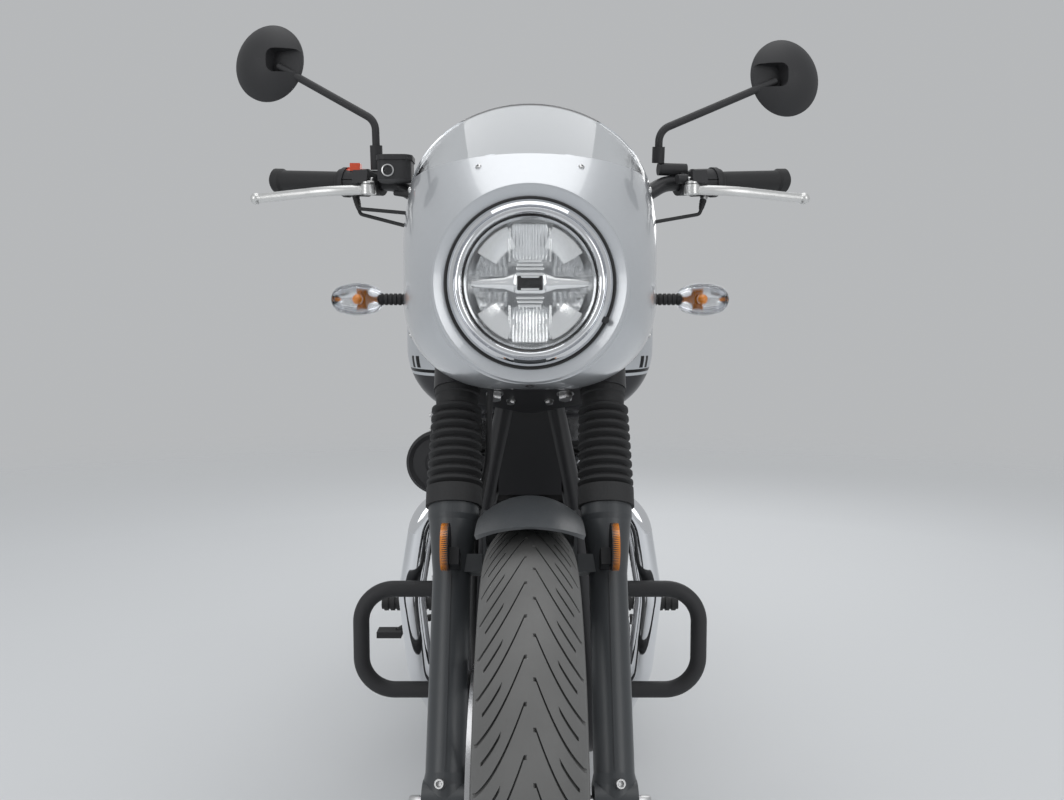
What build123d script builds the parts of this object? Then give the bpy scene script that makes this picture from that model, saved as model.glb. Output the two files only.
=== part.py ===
"""Cafe racer motorcycle: air-cooled upright twin in a tube cradle, wire wheels, half cowl, on its centre stand.

Millimetres. X forward, Y to the rider's left, Z up, origin on the floor at the middle of the overall length.
Left-hand pieces are modelled and mirrored; the front end is modelled in the fork's own frame.
"""
import os
from math import atan2, cos, degrees, hypot, pi, radians, sin

from build123d import *

# Clearances
FIT = 0.2            # between pieces that seat on each other
RUN = 0.1            # between a shaft and its bore
SWEEP = 6.0          # between a turning piece and what stays still

# Chassis layout
WHEELBASE = 1465.0
FRONT_AXLE_X = 748.0
FRONT_AXLE_Z = 319.0
REAR_AXLE_Z = 349.0  # the centre stand holds the rear tyre off the floor
FRONT_TYRE_R = 319.0
FRONT_TYRE_W = 104.0
FRONT_SECTION = 87.0      # tyre height over the rim's bead seat
REAR_TYRE_R = 333.0
REAR_TYRE_W = 130.0
REAR_SECTION = 101.0
RAKE = radians(26.0)
FORK_OFFSET = 55.0
FORK_HALF = 96.0     # fork leg from the middle plane

REAR_AXLE_X = FRONT_AXLE_X - WHEELBASE
FRONT_AXLE = Vector(FRONT_AXLE_X, 0, FRONT_AXLE_Z)
REAR_AXLE = Vector(REAR_AXLE_X, 0, REAR_AXLE_Z)
FLOOR = FRONT_AXLE_Z - FRONT_TYRE_R      # a tyre's radius below the front axle; every piece is set down by it

# Wheels
FRONT_BEAD_R = FRONT_TYRE_R - FRONT_SECTION
REAR_BEAD_R = REAR_TYRE_R - REAR_SECTION
BEAD_SHARE = 0.62    # rim width as a share of the tyre's
RIM_WALL = 4.0
RIM_FLANGE = 9.0
RIM_WELL = 18.0      # depth of the drop centre
HUB_FLANGE = 5.0
TYRE_WALL = 9.0
SPOKES_PER_SIDE = 18
SPOKE_R = 1.9
SPOKE_LEAD = 38.0    # degrees that a spoke runs ahead from hub to rim
HUB_R = 34.0
HUB_BARREL_R = 24.0
AXLE_R = 10.0
FRONT_AXLE_BORE_R = 6.0
FRONT_AXLE_HALF = FORK_HALF + 30.0
FRONT_DISC_R = 160.0
FRONT_DISC_Y = -62.0
REAR_DISC_R = 135.0
REAR_DISC_Y = -84.0
DISC_THICK = 5.0
DISC_BAND = 34.0
DISC_HOLES = [(9, 18, 0.0), (24, 18, 0.5)]     # depth from the rim, count, share of a step
FRONT_HUB_HALF, FRONT_HUB_REACH = 30.0, 66.0
REAR_HUB_HALF, REAR_HUB_REACH = 42.0, 92.0

# Fork, measured up the leg from the front axle
TUBE_R = 20.5
SLIDER_R = 23.5
SLIDER_TOP = 346.0
SLIDER_TOP_R = 32.0
SLIDER_NECK_R = 29.0
SLIDER_RIB = (38.0, 258.0)      # the casting's parting rib down the front
LUG_AT = 272.0                  # mudguard lug and reflector arm
GAITER_BAND = 24.0
GAITER_NECK = 24.0
GAITER_R = 35.5
GAITER_FOLDS = 9
LOWER_YOKE = (505.0, 540.0)
TOP_YOKE = (692.0, 716.0)
STEM_R = 15.0
HEAD_R = 29.0
YOKE_LEG_R = 31.0
FORK_CAP_TOP = 736.0

# Front fender
FENDER_GAP = 29.0    # crown over the tyre
FENDER_HALF = 59.0
FENDER_DROP = 26.0   # of the edges below the crown
FENDER_WALL = 2.5
FENDER_ARC = (-74.0, 14.5)      # degrees ahead of upright, back and front

# Headlamp and cowl
LAMP_X = FRONT_AXLE_X - 70.0
LAMP_Z = 908.0
LAMP_RIM_R = 97.0
LAMP_GLASS_R = 80.0
LAMP_DEPTH = 112.0
OPTIC_BLOCK = (38.0, 25.0)
COLUMN_W = 44.0
COLUMN_RIBS = 11
FLUTES = 7
FLUTE_R = 2.4
COWL_FRONT_X = FRONT_AXLE_X - 85.0
BEZEL_R = 117.0
COWL_HOLE_R = 99.0
COWL_WALL = 3.5
COWL_EDGE = [(-112.0, 1068.0), (-268.0, 1050.0)]      # top edge, behind the front axle by height
SCREEN_EDGE = [(-268.0, 1050.0), (-232.0, 1156.0)]    # the screen's back edge
COWL_SECTIONS = [   # distance behind the front axle, width, bottom z, top z, lower corner radius
    (-85.0, 236.0, 790.0, 1026.0, 112.0),
    (-120.0, 282.0, 782.0, 1056.0, 114.0),
    (-190.0, 324.0, 778.0, 1113.0, 112.0),
    (-300.0, 334.0, 776.0, 1194.0, 105.0),
]

# Handlebar
BAR_R = 11.1
BAR_CLAMP_Y = 50.0
BAR_TURN = 50.0      # bend radius
GRIP_R = 15.5
GRIP_LENGTH = 116.0
LEVER_TIP = (-390.0, 404.0, 1045.0)
PERCH_AT = 35.0      # along the bar's outer straight
SWITCH_AT = 50.0
SWITCH_R = 22.0
RESERVOIR = [(386.0, -214.0, 1062.0), (436.0, -166.0, 1096.0)]

# Hose and cables
HOSE_R = 4.0
CABLE_R = 2.6
BRAKE_HOSE = [       # in the fork's frame: forward, left, up the leg
    (24, -190, 796), (48, -140, 772), (48, -54, 690), (46, -50, 500), (-30, -56, 415), (-50, -70, 345),
    (-84, -74, 212), (-86, -70, 154.6)]
CABLE_END = [(-268, 122, 990), (-236, 72, 940), (-188, 24, 916)]      # behind the front axle, left side
CABLES = [(1, 0.0, 0.0), (-1, -9.0, 0.0), (-1, 16.0, 12.0)]      # side, lift of the end, start's shift forward

# Mirrors
MIRROR_R = 56.0
MIRROR_DEPTH = 25.0
MIRROR_TURN = radians(17.0)
MIRROR_POCKET = 34.0
MIRRORS = [          # side, stem foot, bend z, head centre, each behind the front axle
    (1, (-372.0, 186.0, 1094.0), 1138.0, (-398.0, 377.0, 1222.0)),
    (-1, (-382.0, -224.0, 1085.4), 1154.0, (-398.0, -385.0, 1243.0)),
]

# Turn signals
SIGNAL = (-266.0, 234.0, 894.0)     # middle of the left front one, behind the front axle
SIGNAL_HALF = 36.0
SIGNAL_R = 22.0

# Engine
ENGINE_X = 112.0
BORE_Y = 64.0
FIN_THICK = 3.0
FIN_PITCH = 10.5
CRADLE_Z = 186.0
CRADLE_Y = 95.0
FRAME_TUBE_R = 15.0
RAIL_R = 12.5
CRANK = (150.0, 325.0)
GEARBOX = (-68.0, 348.0)
CASE_HALF = 114.0
CASE_BOTTOM = CRADLE_Z + FRAME_TUBE_R + FIT
COVER_DEPTH = 46.0
CYLINDER = (432.0, 572.0)       # bottom and top of the cylinder block
BARREL_R = 58.0
HEAD_TOP = 664.0
HEAD_HALF = (70.0, 118.0)       # along and across
COVER_TOP = 742.0
CAM_HALF = (68.0, 122.0)
BLOCK_FINS = (12, 184.0, 296.0)      # count, length, width
HEAD_FINS = (8, 180.0, 286.0)
FIN_CORNER = 30.0
PORT_Y = 70.0
PORT_Z = 618.0                  # exhaust ports
INTAKE_Z = 632.0
TOWER_R = 23.0
TOWER = (ENGINE_X - 4, -BLOCK_FINS[2] / 2 - 2)      # cam drive tower, x and y
SPROCKET_WALL = 66.0            # inner wall of the front sprocket's bay
SPROCKET_BAY = 46.0
BAY_END = -8.0                  # front end of the bay

# Exhaust
HEADER_R = 21.0
MUFFLER_R = 47.0
HEADER_END = (-168.0, 168.0, 222.0)
MUFFLER_END = (REAR_AXLE_X - 163, 190.0, 312.0)
COLLAR_R = 29.0
COLLARS = 3

# Fuel tank; x is measured from the front axle
TUNNEL_HALF = 36.0   # room for the spine
CAP_X = FRONT_AXLE_X - 560.0
CAP_Z = 984.0
TANK_SECTIONS = [   # x, width, bottom z, top z, corner radius
    (-394.0, 190.0, 790.0, 918.0, 50.0),
    (-446.0, 372.0, 722.0, 952.0, 96.0),
    (-560.0, 372.0, 752.0, 986.0, 100.0),
    (-740.0, 268.0, 786.0, 958.0, 76.0),
    (-872.0, 170.0, 806.0, 884.0, 36.0),
]

# Seat; x is measured from the front axle, the tail's from the rear axle by way of the wheelbase
SEAT_SECTIONS = [   # x, width, bottom z, top z, corner radius
    (-884.0, 176.0, 800.0, 848.0, 18.0),
    (-1010.0, 238.0, 792.0, 846.0, 20.0),
    (225.0 - WHEELBASE, 250.0, 800.0, 862.0, 26.0),
    (45.0 - WHEELBASE, 224.0, 836.0, 916.0, 36.0),
    (-71.0 - WHEELBASE, 150.0, 852.0, 914.0, 26.0),
]
SEAT_PADS = [-260.0, -470.0, REAR_AXLE_X - 23]      # x of the rubbers on each rail

# Foot pegs
PEG = (-152.0, 286.0)
PEG_R = 15.0
PEG_OUT = (200.0, 305.0)
PEG_RIBS = 8

# Swingarm and final drive
PIVOT = (-200.0, 356.0)
REAR_Y = 113.0       # rear uprights and seat rails from the middle plane
ARM_Y = 116.0
ARM_R = 17.0
PIVOT_R = 10.0
SHOCK_TOP = (REAR_AXLE_X + 157, 782.0)
SHOCK_LOW = (REAR_AXLE_X + 74, REAR_AXLE.Z + 36)
SHOCK_Y = ARM_Y + 26.0
SHOCK_TURNS = 11
RAIL = [(-206.0, REAR_Y, 754.0), (SHOCK_TOP[0], REAR_Y, SHOCK_TOP[1]), (REAR_AXLE_X - 75, REAR_Y - 26, 802.0)]
CHAIN_Y = 84.0
FRONT_SPROCKET_R = 42.0
REAR_SPROCKET_R = 92.0
CHAIN_HALF_HEIGHT = 7.5
CHAIN_WAIST = 0.7    # height of a link's waist, as a share
CHAIN_W = 17.0
CHAIN_GAP = 0.7      # between the chain's inner edge and the teeth
LINK = 15.9
SPROCKET_TEETH = 36
SPROCKET_THICK = 7.0
TOOTH = 5.0

# Rear fender, tail lamp and plate holder
REAR_GUARD = (REAR_TYRE_R + 70, 76.0, 30.0)      # crown radius, half width, drop of the edges
GUARD_WALL = 2.5
GUARD_ARC = (-60.0, 30.0)        # degrees ahead of upright, back and front
TAIL_X = REAR_AXLE_X - 354.0
TAIL_LAMP = [(REAR_AXLE_X - 345, -46.0, 632.0), (REAR_AXLE_X - 267, 46.0, 706.0)]
PLATE_Z = 555.0
PLATE_HALF = (90.0, 55.0)        # across and up
PLATE_HOLE_Y = 73.0
PLATE_HOLE_Z = 35.0
REAR_SIGNAL = (REAR_AXLE_X - 45, 196.0, 796.0)

# Horn
HORN = (380.0, -136.0, 655.0)
HORN_R = 48.0

# Stands
STAND_PIVOT = (-232.0, 236.0)
STAND_FOOT_X = -205.0
STAND_SPREAD = 140.0
STAND_PIN_R = 10.0
PEG_HANGER_Y = CRADLE_Y + FRAME_TUBE_R + FIT - 9      # inner face of the peg hangers
SIDE_PIVOT = Vector(20.0, 126.0, 180.0)
SIDE_AXIS = Vector(-0.0775, -0.775, -0.632).normalized()
SIDE_LENGTH = 170.0
SIDE_PIN_R = 6.0
SIDE_BOSS_R = 12.0
SIDE_BOSS_HALF = 11.0

FORK = Plane(FRONT_AXLE, x_dir=(cos(RAKE), 0, sin(RAKE)), z_dir=(-sin(RAKE), 0, cos(RAKE)))
LEG = Plane(FORK * Pos(0, FORK_HALF, 0))
STEM = Plane(FORK * Pos(-FORK_OFFSET, 0, 0))


def ahead(x, y, z):
    """A point given by its distance from the front axle along X."""
    return Vector(FRONT_AXLE_X + x, y, z)


BAR_CENTRE = ahead(-338.0, 0.0, 1012.0)
BAR_INNER = {s: ahead(-338.0, 112.0 * s, 1012.0) for s in (1, -1)}
BAR_BEND = {s: ahead(-372.6, 195.0 * s, 1064.3) for s in (1, -1)}
BAR_END = {s: ahead(-443.0, 384.0 * s, 1079.0) for s in (1, -1)}
BAR_OUT = {s: (BAR_END[s] - BAR_BEND[s]).normalized() for s in (1, -1)}
GRIP_START = (BAR_END[1] - BAR_BEND[1]).length - GRIP_LENGTH


def in_fork(x, y, s):
    """A point given in the fork's frame: forward, left, up the leg."""
    return FORK.from_local_coords(Vector(x, y, s))


def rod(start, end, radius, bore=0.0):
    """A straight round bar or tube between two points."""
    start, end = Vector(*start), Vector(*end)
    place = Plane(start, z_dir=end - start)
    ring = Circle(radius) - Circle(bore) if bore else Circle(radius)
    return extrude(place * ring, amount=(end - start).length)


def tube(points, radius, bends):
    """A round bar bent through the points, with one bend radius for each inner point."""
    path = FilletPolyline(*[Vector(*p) for p in points], radius=bends)
    return sweep(Plane(path @ 0, z_dir=path % 0) * Circle(radius), path=path)


def mirrored(piece):
    return mirror(piece, about=Plane.XZ)


def pair(piece):
    """A left-hand piece and its mirror image."""
    return Compound([*piece.solids(), *mirrored(piece).solids()])


def radial_plane(centre, angle=0.0):
    """Plane through a wheel's axis: local x is the radius, turned forward by angle, and local y is +Y."""
    a = radians(angle)
    return Plane(centre, x_dir=(sin(a), 0, cos(a)), z_dir=(-cos(a), 0, sin(a)))


def spin(profile, centre, start=0.0, arc=360.0):
    """Revolves a radius-by-width profile about a wheel's axis."""
    return revolve(radial_plane(centre, start) * profile, axis=Axis(centre, (0, 1, 0)), revolution_arc=arc)


def outline(points):
    return make_face(Polyline(*points, close=True))


def plate(points, y0, y1):
    """A side-view outline, X by Z, as thick as from y0 to y1."""
    face = Plane((0, y0, 0), x_dir=(1, 0, 0), z_dir=(0, -1, 0)) * outline(points)
    return extrude(face, amount=-(y1 - y0))


def disc_y(x, z, radius, y0, y1, bore=0.0):
    """A round boss along Y."""
    return rod((x, y0, z), (x, y1, z), radius, bore)


def box_between(low, high):
    size = [h - l for l, h in zip(low, high)]
    return Pos(*[(l + h) / 2 for l, h in zip(low, high)]) * Box(*size)


# Wheels

def tyre(centre, radius, width, bead_r):
    """Hollow carcass with a round crown, its beads inside the rim's flanges."""
    half = width / 2

    def section(inset):
        crown, side = radius - inset, half - inset
        shoulder = (crown - 0.55 * side, 0.9 * side)
        widest = (crown - 0.9 * side, side)
        bead = BEAD_SHARE * half - FIT - inset
        foot, lip = bead_r + RUN, bead_r + RIM_FLANGE + 1
        return make_face([
            ThreePointArc((shoulder[0], shoulder[1]), (crown, 0), (shoulder[0], -shoulder[1])),
            ThreePointArc((shoulder[0], -shoulder[1]), (widest[0], -widest[1]), (lip, -bead)),
            Polyline((lip, -bead), (foot, -bead), (foot, bead), (lip, bead)),
            ThreePointArc((lip, bead), widest, shoulder)])

    return spin(section(0) - section(TYRE_WALL), centre)


def wire_wheel(centre, width, bead_r, hub_half, hub_reach):
    """Rim, laced spokes and hub as one piece, with the axle's bore."""
    half = BEAD_SHARE * width / 2
    lip, well, under = bead_r + RIM_FLANGE, bead_r - RIM_WELL, bead_r - 2 - RIM_WALL
    left = [(lip, half + RIM_WALL), (lip, half), (bead_r, half), (bead_r - 2, half - 12), (well, 9)]
    back = [(well - RIM_WALL, 12), (under, half - 8), (bead_r - RIM_WALL, half + RIM_WALL)]
    right = [(r, -y) for r, y in reversed(left)] + [(r, -y) for r, y in reversed(back)]
    rim = spin(outline(left + right + back), centre)
    flange = HUB_FLANGE
    hub = spin(outline([
        (AXLE_R + RUN, -hub_reach), (HUB_BARREL_R - 4, -hub_reach), (HUB_BARREL_R, -hub_half),
        (HUB_R + 6, -hub_half), (HUB_R + 6, -hub_half + flange), (HUB_BARREL_R, -hub_half + 2 * flange),
        (HUB_BARREL_R, hub_half - 2 * flange), (HUB_R + 6, hub_half - flange), (HUB_R + 6, hub_half),
        (HUB_BARREL_R, hub_half), (HUB_BARREL_R - 4, hub_reach), (AXLE_R + RUN, hub_reach),
    ]), centre)
    spokes = []
    for i in range(SPOKES_PER_SIDE):
        for side in (1, -1):
            turn = 360 / SPOKES_PER_SIDE * (i + 0.25 * side)
            lead = SPOKE_LEAD if i % 2 else -SPOKE_LEAD
            seat = side * (hub_half - flange / 2 + (0.6 if i % 2 else -0.6))
            a, b = radians(turn - lead), radians(turn)
            foot = centre + Vector(HUB_R * sin(a), seat, HUB_R * cos(a))
            head = centre + Vector((well - 2) * sin(b), side * 5, (well - 2) * cos(b))
            spokes.append(rod(foot, head, SPOKE_R))
    return rim.fuse(hub, *spokes)


def brake_disc(centre, radius, y, hub_half, hole_rows):
    """Drilled rotor band on a spider that bolts to the hub's end."""
    side = -1 if y < 0 else 1
    inner = radius - DISC_BAND
    band = spin(Pos(radius - DISC_BAND / 2, y) * Rectangle(DISC_BAND, DISC_THICK), centre)
    seat = side * (hub_half + FIT)
    ring = spin(Pos(HUB_R, (seat + y) / 2) * Rectangle(14, abs(y - seat)), centre)
    arms = []
    for k in range(6):
        a = radians(60 * k)
        foot = centre + Vector(HUB_R * sin(a), y, HUB_R * cos(a))
        tip = centre + Vector((inner + 3) * sin(a + 0.25), y, (inner + 3) * cos(a + 0.25))
        arms.append(rod(foot, tip, 4.0))
    rotor = band.fuse(ring, *arms)
    holes = []
    for row, count, share in hole_rows:
        for k in range(count):
            a = 2 * pi * (k + share) / count
            r = radius - row
            x, z = centre.X + r * sin(a), centre.Z + r * cos(a)
            holes.append(disc_y(x, z, 3.5, y - DISC_THICK, y + DISC_THICK))
    return rotor.cut(*holes)


def front_wheel():
    wheel = wire_wheel(FRONT_AXLE, FRONT_TYRE_W, FRONT_BEAD_R, FRONT_HUB_HALF, FRONT_HUB_REACH)
    disc = brake_disc(FRONT_AXLE, FRONT_DISC_R, FRONT_DISC_Y, FRONT_HUB_HALF, DISC_HOLES)
    return {"front_tyre": tyre(FRONT_AXLE, FRONT_TYRE_R, FRONT_TYRE_W, FRONT_BEAD_R),
            "front_wheel": wheel, "front_brake_disc": disc}


def rear_wheel():
    wheel = wire_wheel(REAR_AXLE, REAR_TYRE_W, REAR_BEAD_R, REAR_HUB_HALF, REAR_HUB_REACH)
    disc = brake_disc(REAR_AXLE, REAR_DISC_R, REAR_DISC_Y, REAR_HUB_HALF, DISC_HOLES)
    return {"rear_tyre": tyre(REAR_AXLE, REAR_TYRE_R, REAR_TYRE_W, REAR_BEAD_R), "rear_wheel": wheel,
            "rear_brake_disc": disc, "rear_sprocket": rear_sprocket()}


def rear_sprocket():
    """Toothed wheel inside the chain's loop, on a carrier that bolts to the hub."""
    tip = REAR_SPROCKET_R - CHAIN_HALF_HEIGHT - CHAIN_GAP
    bore = HUB_BARREL_R + 2
    teeth = []
    for k in range(SPROCKET_TEETH):
        for share, radius in ((-0.30, tip - TOOTH), (-0.14, tip), (0.14, tip), (0.30, tip - TOOTH)):
            a = 2 * pi * (k + share) / SPROCKET_TEETH
            teeth.append((REAR_AXLE.X + radius * sin(a), REAR_AXLE.Z + radius * cos(a)))
    wheel = plate(teeth, CHAIN_Y - SPROCKET_THICK / 2, CHAIN_Y + SPROCKET_THICK / 2)
    seat = REAR_HUB_HALF + FIT
    carrier = spin(Pos(HUB_R + 4, (CHAIN_Y + seat) / 2) * Rectangle(20, CHAIN_Y - seat), REAR_AXLE)
    cuts = [disc_y(REAR_AXLE.X, REAR_AXLE.Z, bore, 0, 200)]
    for k in range(6):
        a = radians(60 * k + 30)
        cuts.append(disc_y(REAR_AXLE.X + 63 * sin(a), REAR_AXLE.Z + 63 * cos(a), 11, CHAIN_Y - 9, CHAIN_Y + 9))
    return (wheel + carrier).cut(*cuts)


# Front end

def slider_body(grow):
    """The left slider's turned body, grown outwards to cut room for itself."""
    shank, collar = SLIDER_R + grow, SLIDER_TOP_R + grow
    return revolve(LEG * Plane.XZ * outline([
        (0, -34), (20, -34), (26, -28), (26, 22), (shank, 34), (shank, 262), (collar - 2, 325), (collar, 332),
        (collar, SLIDER_TOP), (SLIDER_NECK_R, SLIDER_TOP), (SLIDER_NECK_R, SLIDER_TOP + GAITER_BAND - 4),
        (TUBE_R + FIT, SLIDER_TOP + GAITER_BAND - 4), (TUBE_R + FIT, 300), (0, 300),
    ]), axis=Axis(LEG.origin, LEG.z_dir))


def fork_sliders():
    """Lower fork legs: turned body, axle boss, mudguard lug; the right leg also carries the caliper."""
    body = slider_body(0)
    boss_in, boss_out = FORK_HALF - 24, FORK_HALF + 25
    boss = rod(in_fork(0, boss_in, 0), in_fork(0, boss_out, 0), 27)
    boss += FORK * Pos(SLIDER_R, FORK_HALF, sum(SLIDER_RIB) / 2) * Box(3, 2.4, SLIDER_RIB[1] - SLIDER_RIB[0])
    lug = FORK * Pos(4, FORK_HALF - 26, LUG_AT) * Box(26, 24, 22)
    axle_hole = rod(in_fork(0, boss_in - 5, 0), in_fork(0, boss_out + 5, 0), AXLE_R + RUN)
    left = body + boss + lug - axle_hole
    tang = FORK * Pos(-44, -FORK_HALF + 8, 112) * Box(62, 14, 70)
    right = mirrored(body + boss + lug) + tang - mirrored(axle_hole)
    return Compound([*left.solids(), *right.solids()])


def fork_gaiter():
    """Rubber bellows: a clamp band, folds that close up towards the top, and a neck under the yoke."""
    low, top = SLIDER_TOP, LOWER_YOKE[0] - FIT
    first, last = low + GAITER_BAND, top - GAITER_NECK
    pitch = (last - first) / GAITER_FOLDS
    outer = [(SLIDER_NECK_R + FIT, low + FIT), (GAITER_R, low + FIT), (GAITER_R, first)]
    for k in range(GAITER_FOLDS):
        crest = GAITER_R - 0.35 * k
        outer += [(crest - 6, first + pitch * (k + 0.12)), (crest, first + pitch * (k + 0.45)),
                  (crest, first + pitch * (k + 0.72))]
    neck_r = TUBE_R + 7
    outer += [(neck_r - 1, last), (neck_r, last + 6), (neck_r, last + 14), (neck_r + 2, last + 16),
              (neck_r + 2, top),
              (TUBE_R + FIT, top), (TUBE_R + FIT, last + 6), (TUBE_R + 5, last), (SLIDER_NECK_R - 4, first + 4),
              (SLIDER_NECK_R + FIT, first - 2)]
    return revolve(LEG * Plane.XZ * outline(outer), axis=Axis(LEG.origin, LEG.z_dir))


def yoke(low, high, leg_r, stem_r):
    """A fork clamp: the hull of its three rings."""
    rings = Sketch() + [Pos(0, FORK_HALF) * Circle(leg_r), Pos(0, -FORK_HALF) * Circle(leg_r),
                        Pos(-FORK_OFFSET, 0) * Circle(stem_r)]
    face = make_hull(rings.edges())
    holes = Sketch() + [Pos(0, FORK_HALF) * Circle(TUBE_R + FIT), Pos(0, -FORK_HALF) * Circle(TUBE_R + FIT)]
    return extrude(FORK * Pos(0, 0, low) * (face - holes), amount=high - low)


def bar_point(side, along):
    """A point on the handlebar's outer straight, along it from the inner bend."""
    return BAR_BEND[side] + BAR_OUT[side] * along


def triple_clamp():
    """Both yokes on the steering stem, with the handlebar's two posts and caps."""
    stem = extrude(STEM * Pos(0, 0, LOWER_YOKE[0]) * Circle(STEM_R), amount=TOP_YOKE[1] - LOWER_YOKE[0] + 8)
    clamp = yoke(*LOWER_YOKE, YOKE_LEG_R, HEAD_R) + yoke(*TOP_YOKE, YOKE_LEG_R - 2, HEAD_R) + stem
    bar = FORK.to_local_coords(BAR_CENTRE)
    for y in (BAR_CLAMP_Y, -BAR_CLAMP_Y):
        foot = in_fork(bar.X, y, TOP_YOKE[1] - 2)
        clamp += rod(foot, in_fork(bar.X, y, bar.Z), 14)
        clamp += rod(in_fork(bar.X, y - 16, bar.Z), in_fork(bar.X, y + 16, bar.Z), BAR_R + 9)
    return clamp - rod(BAR_CENTRE - Vector(0, 90, 0), BAR_CENTRE + Vector(0, 90, 0), BAR_R + FIT)


def handlebar():
    route = [BAR_END[-1], BAR_BEND[-1], BAR_INNER[-1], BAR_INNER[1], BAR_BEND[1], BAR_END[1]]
    return tube(route, BAR_R, [BAR_TURN] * 4)


def grip():
    """Ribbed rubber sleeve with a flange at each end, left side."""
    along = Plane(bar_point(1, GRIP_START), z_dir=BAR_OUT[1])
    sleeve = revolve(along * Plane.XZ * outline([
        (BAR_R + FIT, 0), (GRIP_R + 4, 0), (GRIP_R + 4, 5), (GRIP_R, 8), (GRIP_R, GRIP_LENGTH - 12),
        (GRIP_R + 2.5, GRIP_LENGTH - 8), (GRIP_R + 2.5, GRIP_LENGTH + 4), (GRIP_R - 2, GRIP_LENGTH + 8),
        (0, GRIP_LENGTH + 8), (0, GRIP_LENGTH + FIT), (BAR_R + FIT, GRIP_LENGTH + FIT),
    ]), axis=Axis(along.origin, along.z_dir))
    return sleeve


def hand_controls():
    """Lever perches and switch housings on the bar; the brake's reservoir right, a mirror arm left."""
    solids = []
    for side in (1, -1):
        along = Plane(bar_point(side, 0), z_dir=BAR_OUT[side], x_dir=(1, 0, 0.05))
        bore = extrude(along * Circle(BAR_R + FIT), amount=GRIP_START, both=True)
        start, end = SWITCH_AT - 4, GRIP_START - 1
        switch = extrude(along * Pos(0, 0, start) * Circle(20), amount=end - start)
        switch += extrude(along * Pos(0, 0, end - 7) * Circle(SWITCH_R), amount=7)
        switch -= along * Pos(0, 0, (start + end) / 2) * Box(60, 1.2, end - start - 12)
        perch = extrude(along * Pos(0, 0, PERCH_AT - 13) * Circle(18), amount=26)
        arm = along * Pos(24, 0, PERCH_AT) * Box(40, 18, 24)
        unit = perch + arm + switch
        if side < 0:
            tank = fillet(box_between(*RESERVOIR).edges().filter_by(Axis.Z), 12)
            lid = tank.faces().sort_by(Axis.Z)[-1]
            unit += tank + extrude(offset(lid, 1.6), amount=-7)
            stop = bar_point(side, (start + end) / 2) + Vector(4, 0, 21)
            unit += Pos(stop) * Box(18, 15, 11)
        else:
            unit += rod(bar_point(1, PERCH_AT) + Vector(6, 0, 18), ahead(*MIRRORS[0][1]) - Vector(0, 0, 9), 9)
            unit += extrude(along * Pos(30, 0, PERCH_AT - 30) * Circle(6.5), amount=22)
        solids += (unit - bore).solids()
    return Compound(solids)


def lever():
    """Forged lever from its pivot to the ball at the tip, left side."""
    pivot = bar_point(1, PERCH_AT + 4) + Vector(38, 0, -15.0)
    tip = ahead(*LEVER_TIP)
    bow = pivot + (tip - pivot) * 0.34 + Vector(13, 0, 1)
    path = FilletPolyline(pivot, bow, tip, radius=160)
    blade = sweep(Plane(path @ 0, x_dir=(0, 0, 1), z_dir=path % 0) * Ellipse(7.0, 4.6), path=path)
    return blade + Pos(tip) * Sphere(8.5) + Pos(pivot) * Cylinder(11, 13)


def cap_arc(radius, top, sag):
    """Arc of a sphere on the axis, from its pole out to the radius."""
    ball = (radius ** 2 + sag ** 2) / (2 * sag)
    half_way = top - ball + (ball ** 2 - radius ** 2 / 4) ** 0.5
    return ThreePointArc((0, top), (radius / 2, half_way), (radius, top - sag))


def mirrors():
    """Round heads with a domed back, each on its bent stem."""
    solids = []
    for side, foot, bend_z, centre in MIRRORS:
        face = Plane(ahead(*centre), z_dir=(cos(MIRROR_TURN), side * sin(MIRROR_TURN), 0.08))
        dome = face * Plane.XZ * make_face([
            Polyline((0, MIRROR_DEPTH - 4), (0, -10), (MIRROR_R - 4, -10), (MIRROR_R, -7), (MIRROR_R, -4)),
            cap_arc(MIRROR_R, MIRROR_DEPTH - 4, MIRROR_DEPTH)])
        base = ahead(*foot)
        bend = Vector(base.X + 10, base.Y, bend_z)
        hole = face.origin + face.z_dir * 8 + Vector(0, -side * 20, -8)
        stem = tube([base, bend, hole], 5.5, [22])
        boot = rod(base, base + (bend - base) * 0.5, 9)
        head = revolve(dome, axis=Axis(face.origin, face.z_dir))
        pocket = Plane(hole + Vector(0, -side * 14, 5), x_dir=(0, 1, 0), z_dir=face.z_dir)
        head -= extrude(pocket * RectangleRounded(46, MIRROR_POCKET, 10), amount=40)
        solids += (head + stem + boot).solids()
    return Compound(solids)


def cowl_outline(width, low, high, corner):
    """Upright outline with a round top and two lower corners, Y by Z."""
    half, shoulder, k = width / 2, high - width / 2, 1 - 0.5 ** 0.5
    top = half * 0.5 ** 0.5
    return make_face([
        Line((corner - half, low), (half - corner, low)),
        ThreePointArc((half - corner, low), (half - corner * k, low + corner * k), (half, low + corner)),
        Line((half, low + corner), (half, shoulder)),
        ThreePointArc((half, shoulder), (top, shoulder + top), (0, high)),
        ThreePointArc((0, high), (-top, shoulder + top), (-half, shoulder)),
        Line((-half, shoulder), (-half, low + corner)),
        ThreePointArc((-half, low + corner), (corner * k - half, low + corner * k), (corner - half, low))])


def cowl_form(inset):
    """The cowl's and screen's common outer form, taken in by inset."""
    sections = []
    for k, (x, width, low, high, corner) in enumerate(COWL_SECTIONS):
        place = Plane(ahead(x - (0 if k else inset), 0, 0), x_dir=(0, 1, 0), z_dir=(1, 0, 0))
        sections.append(place * cowl_outline(width - 2 * inset, low + inset, high - inset, corner - inset))
    return loft(sections)


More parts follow.
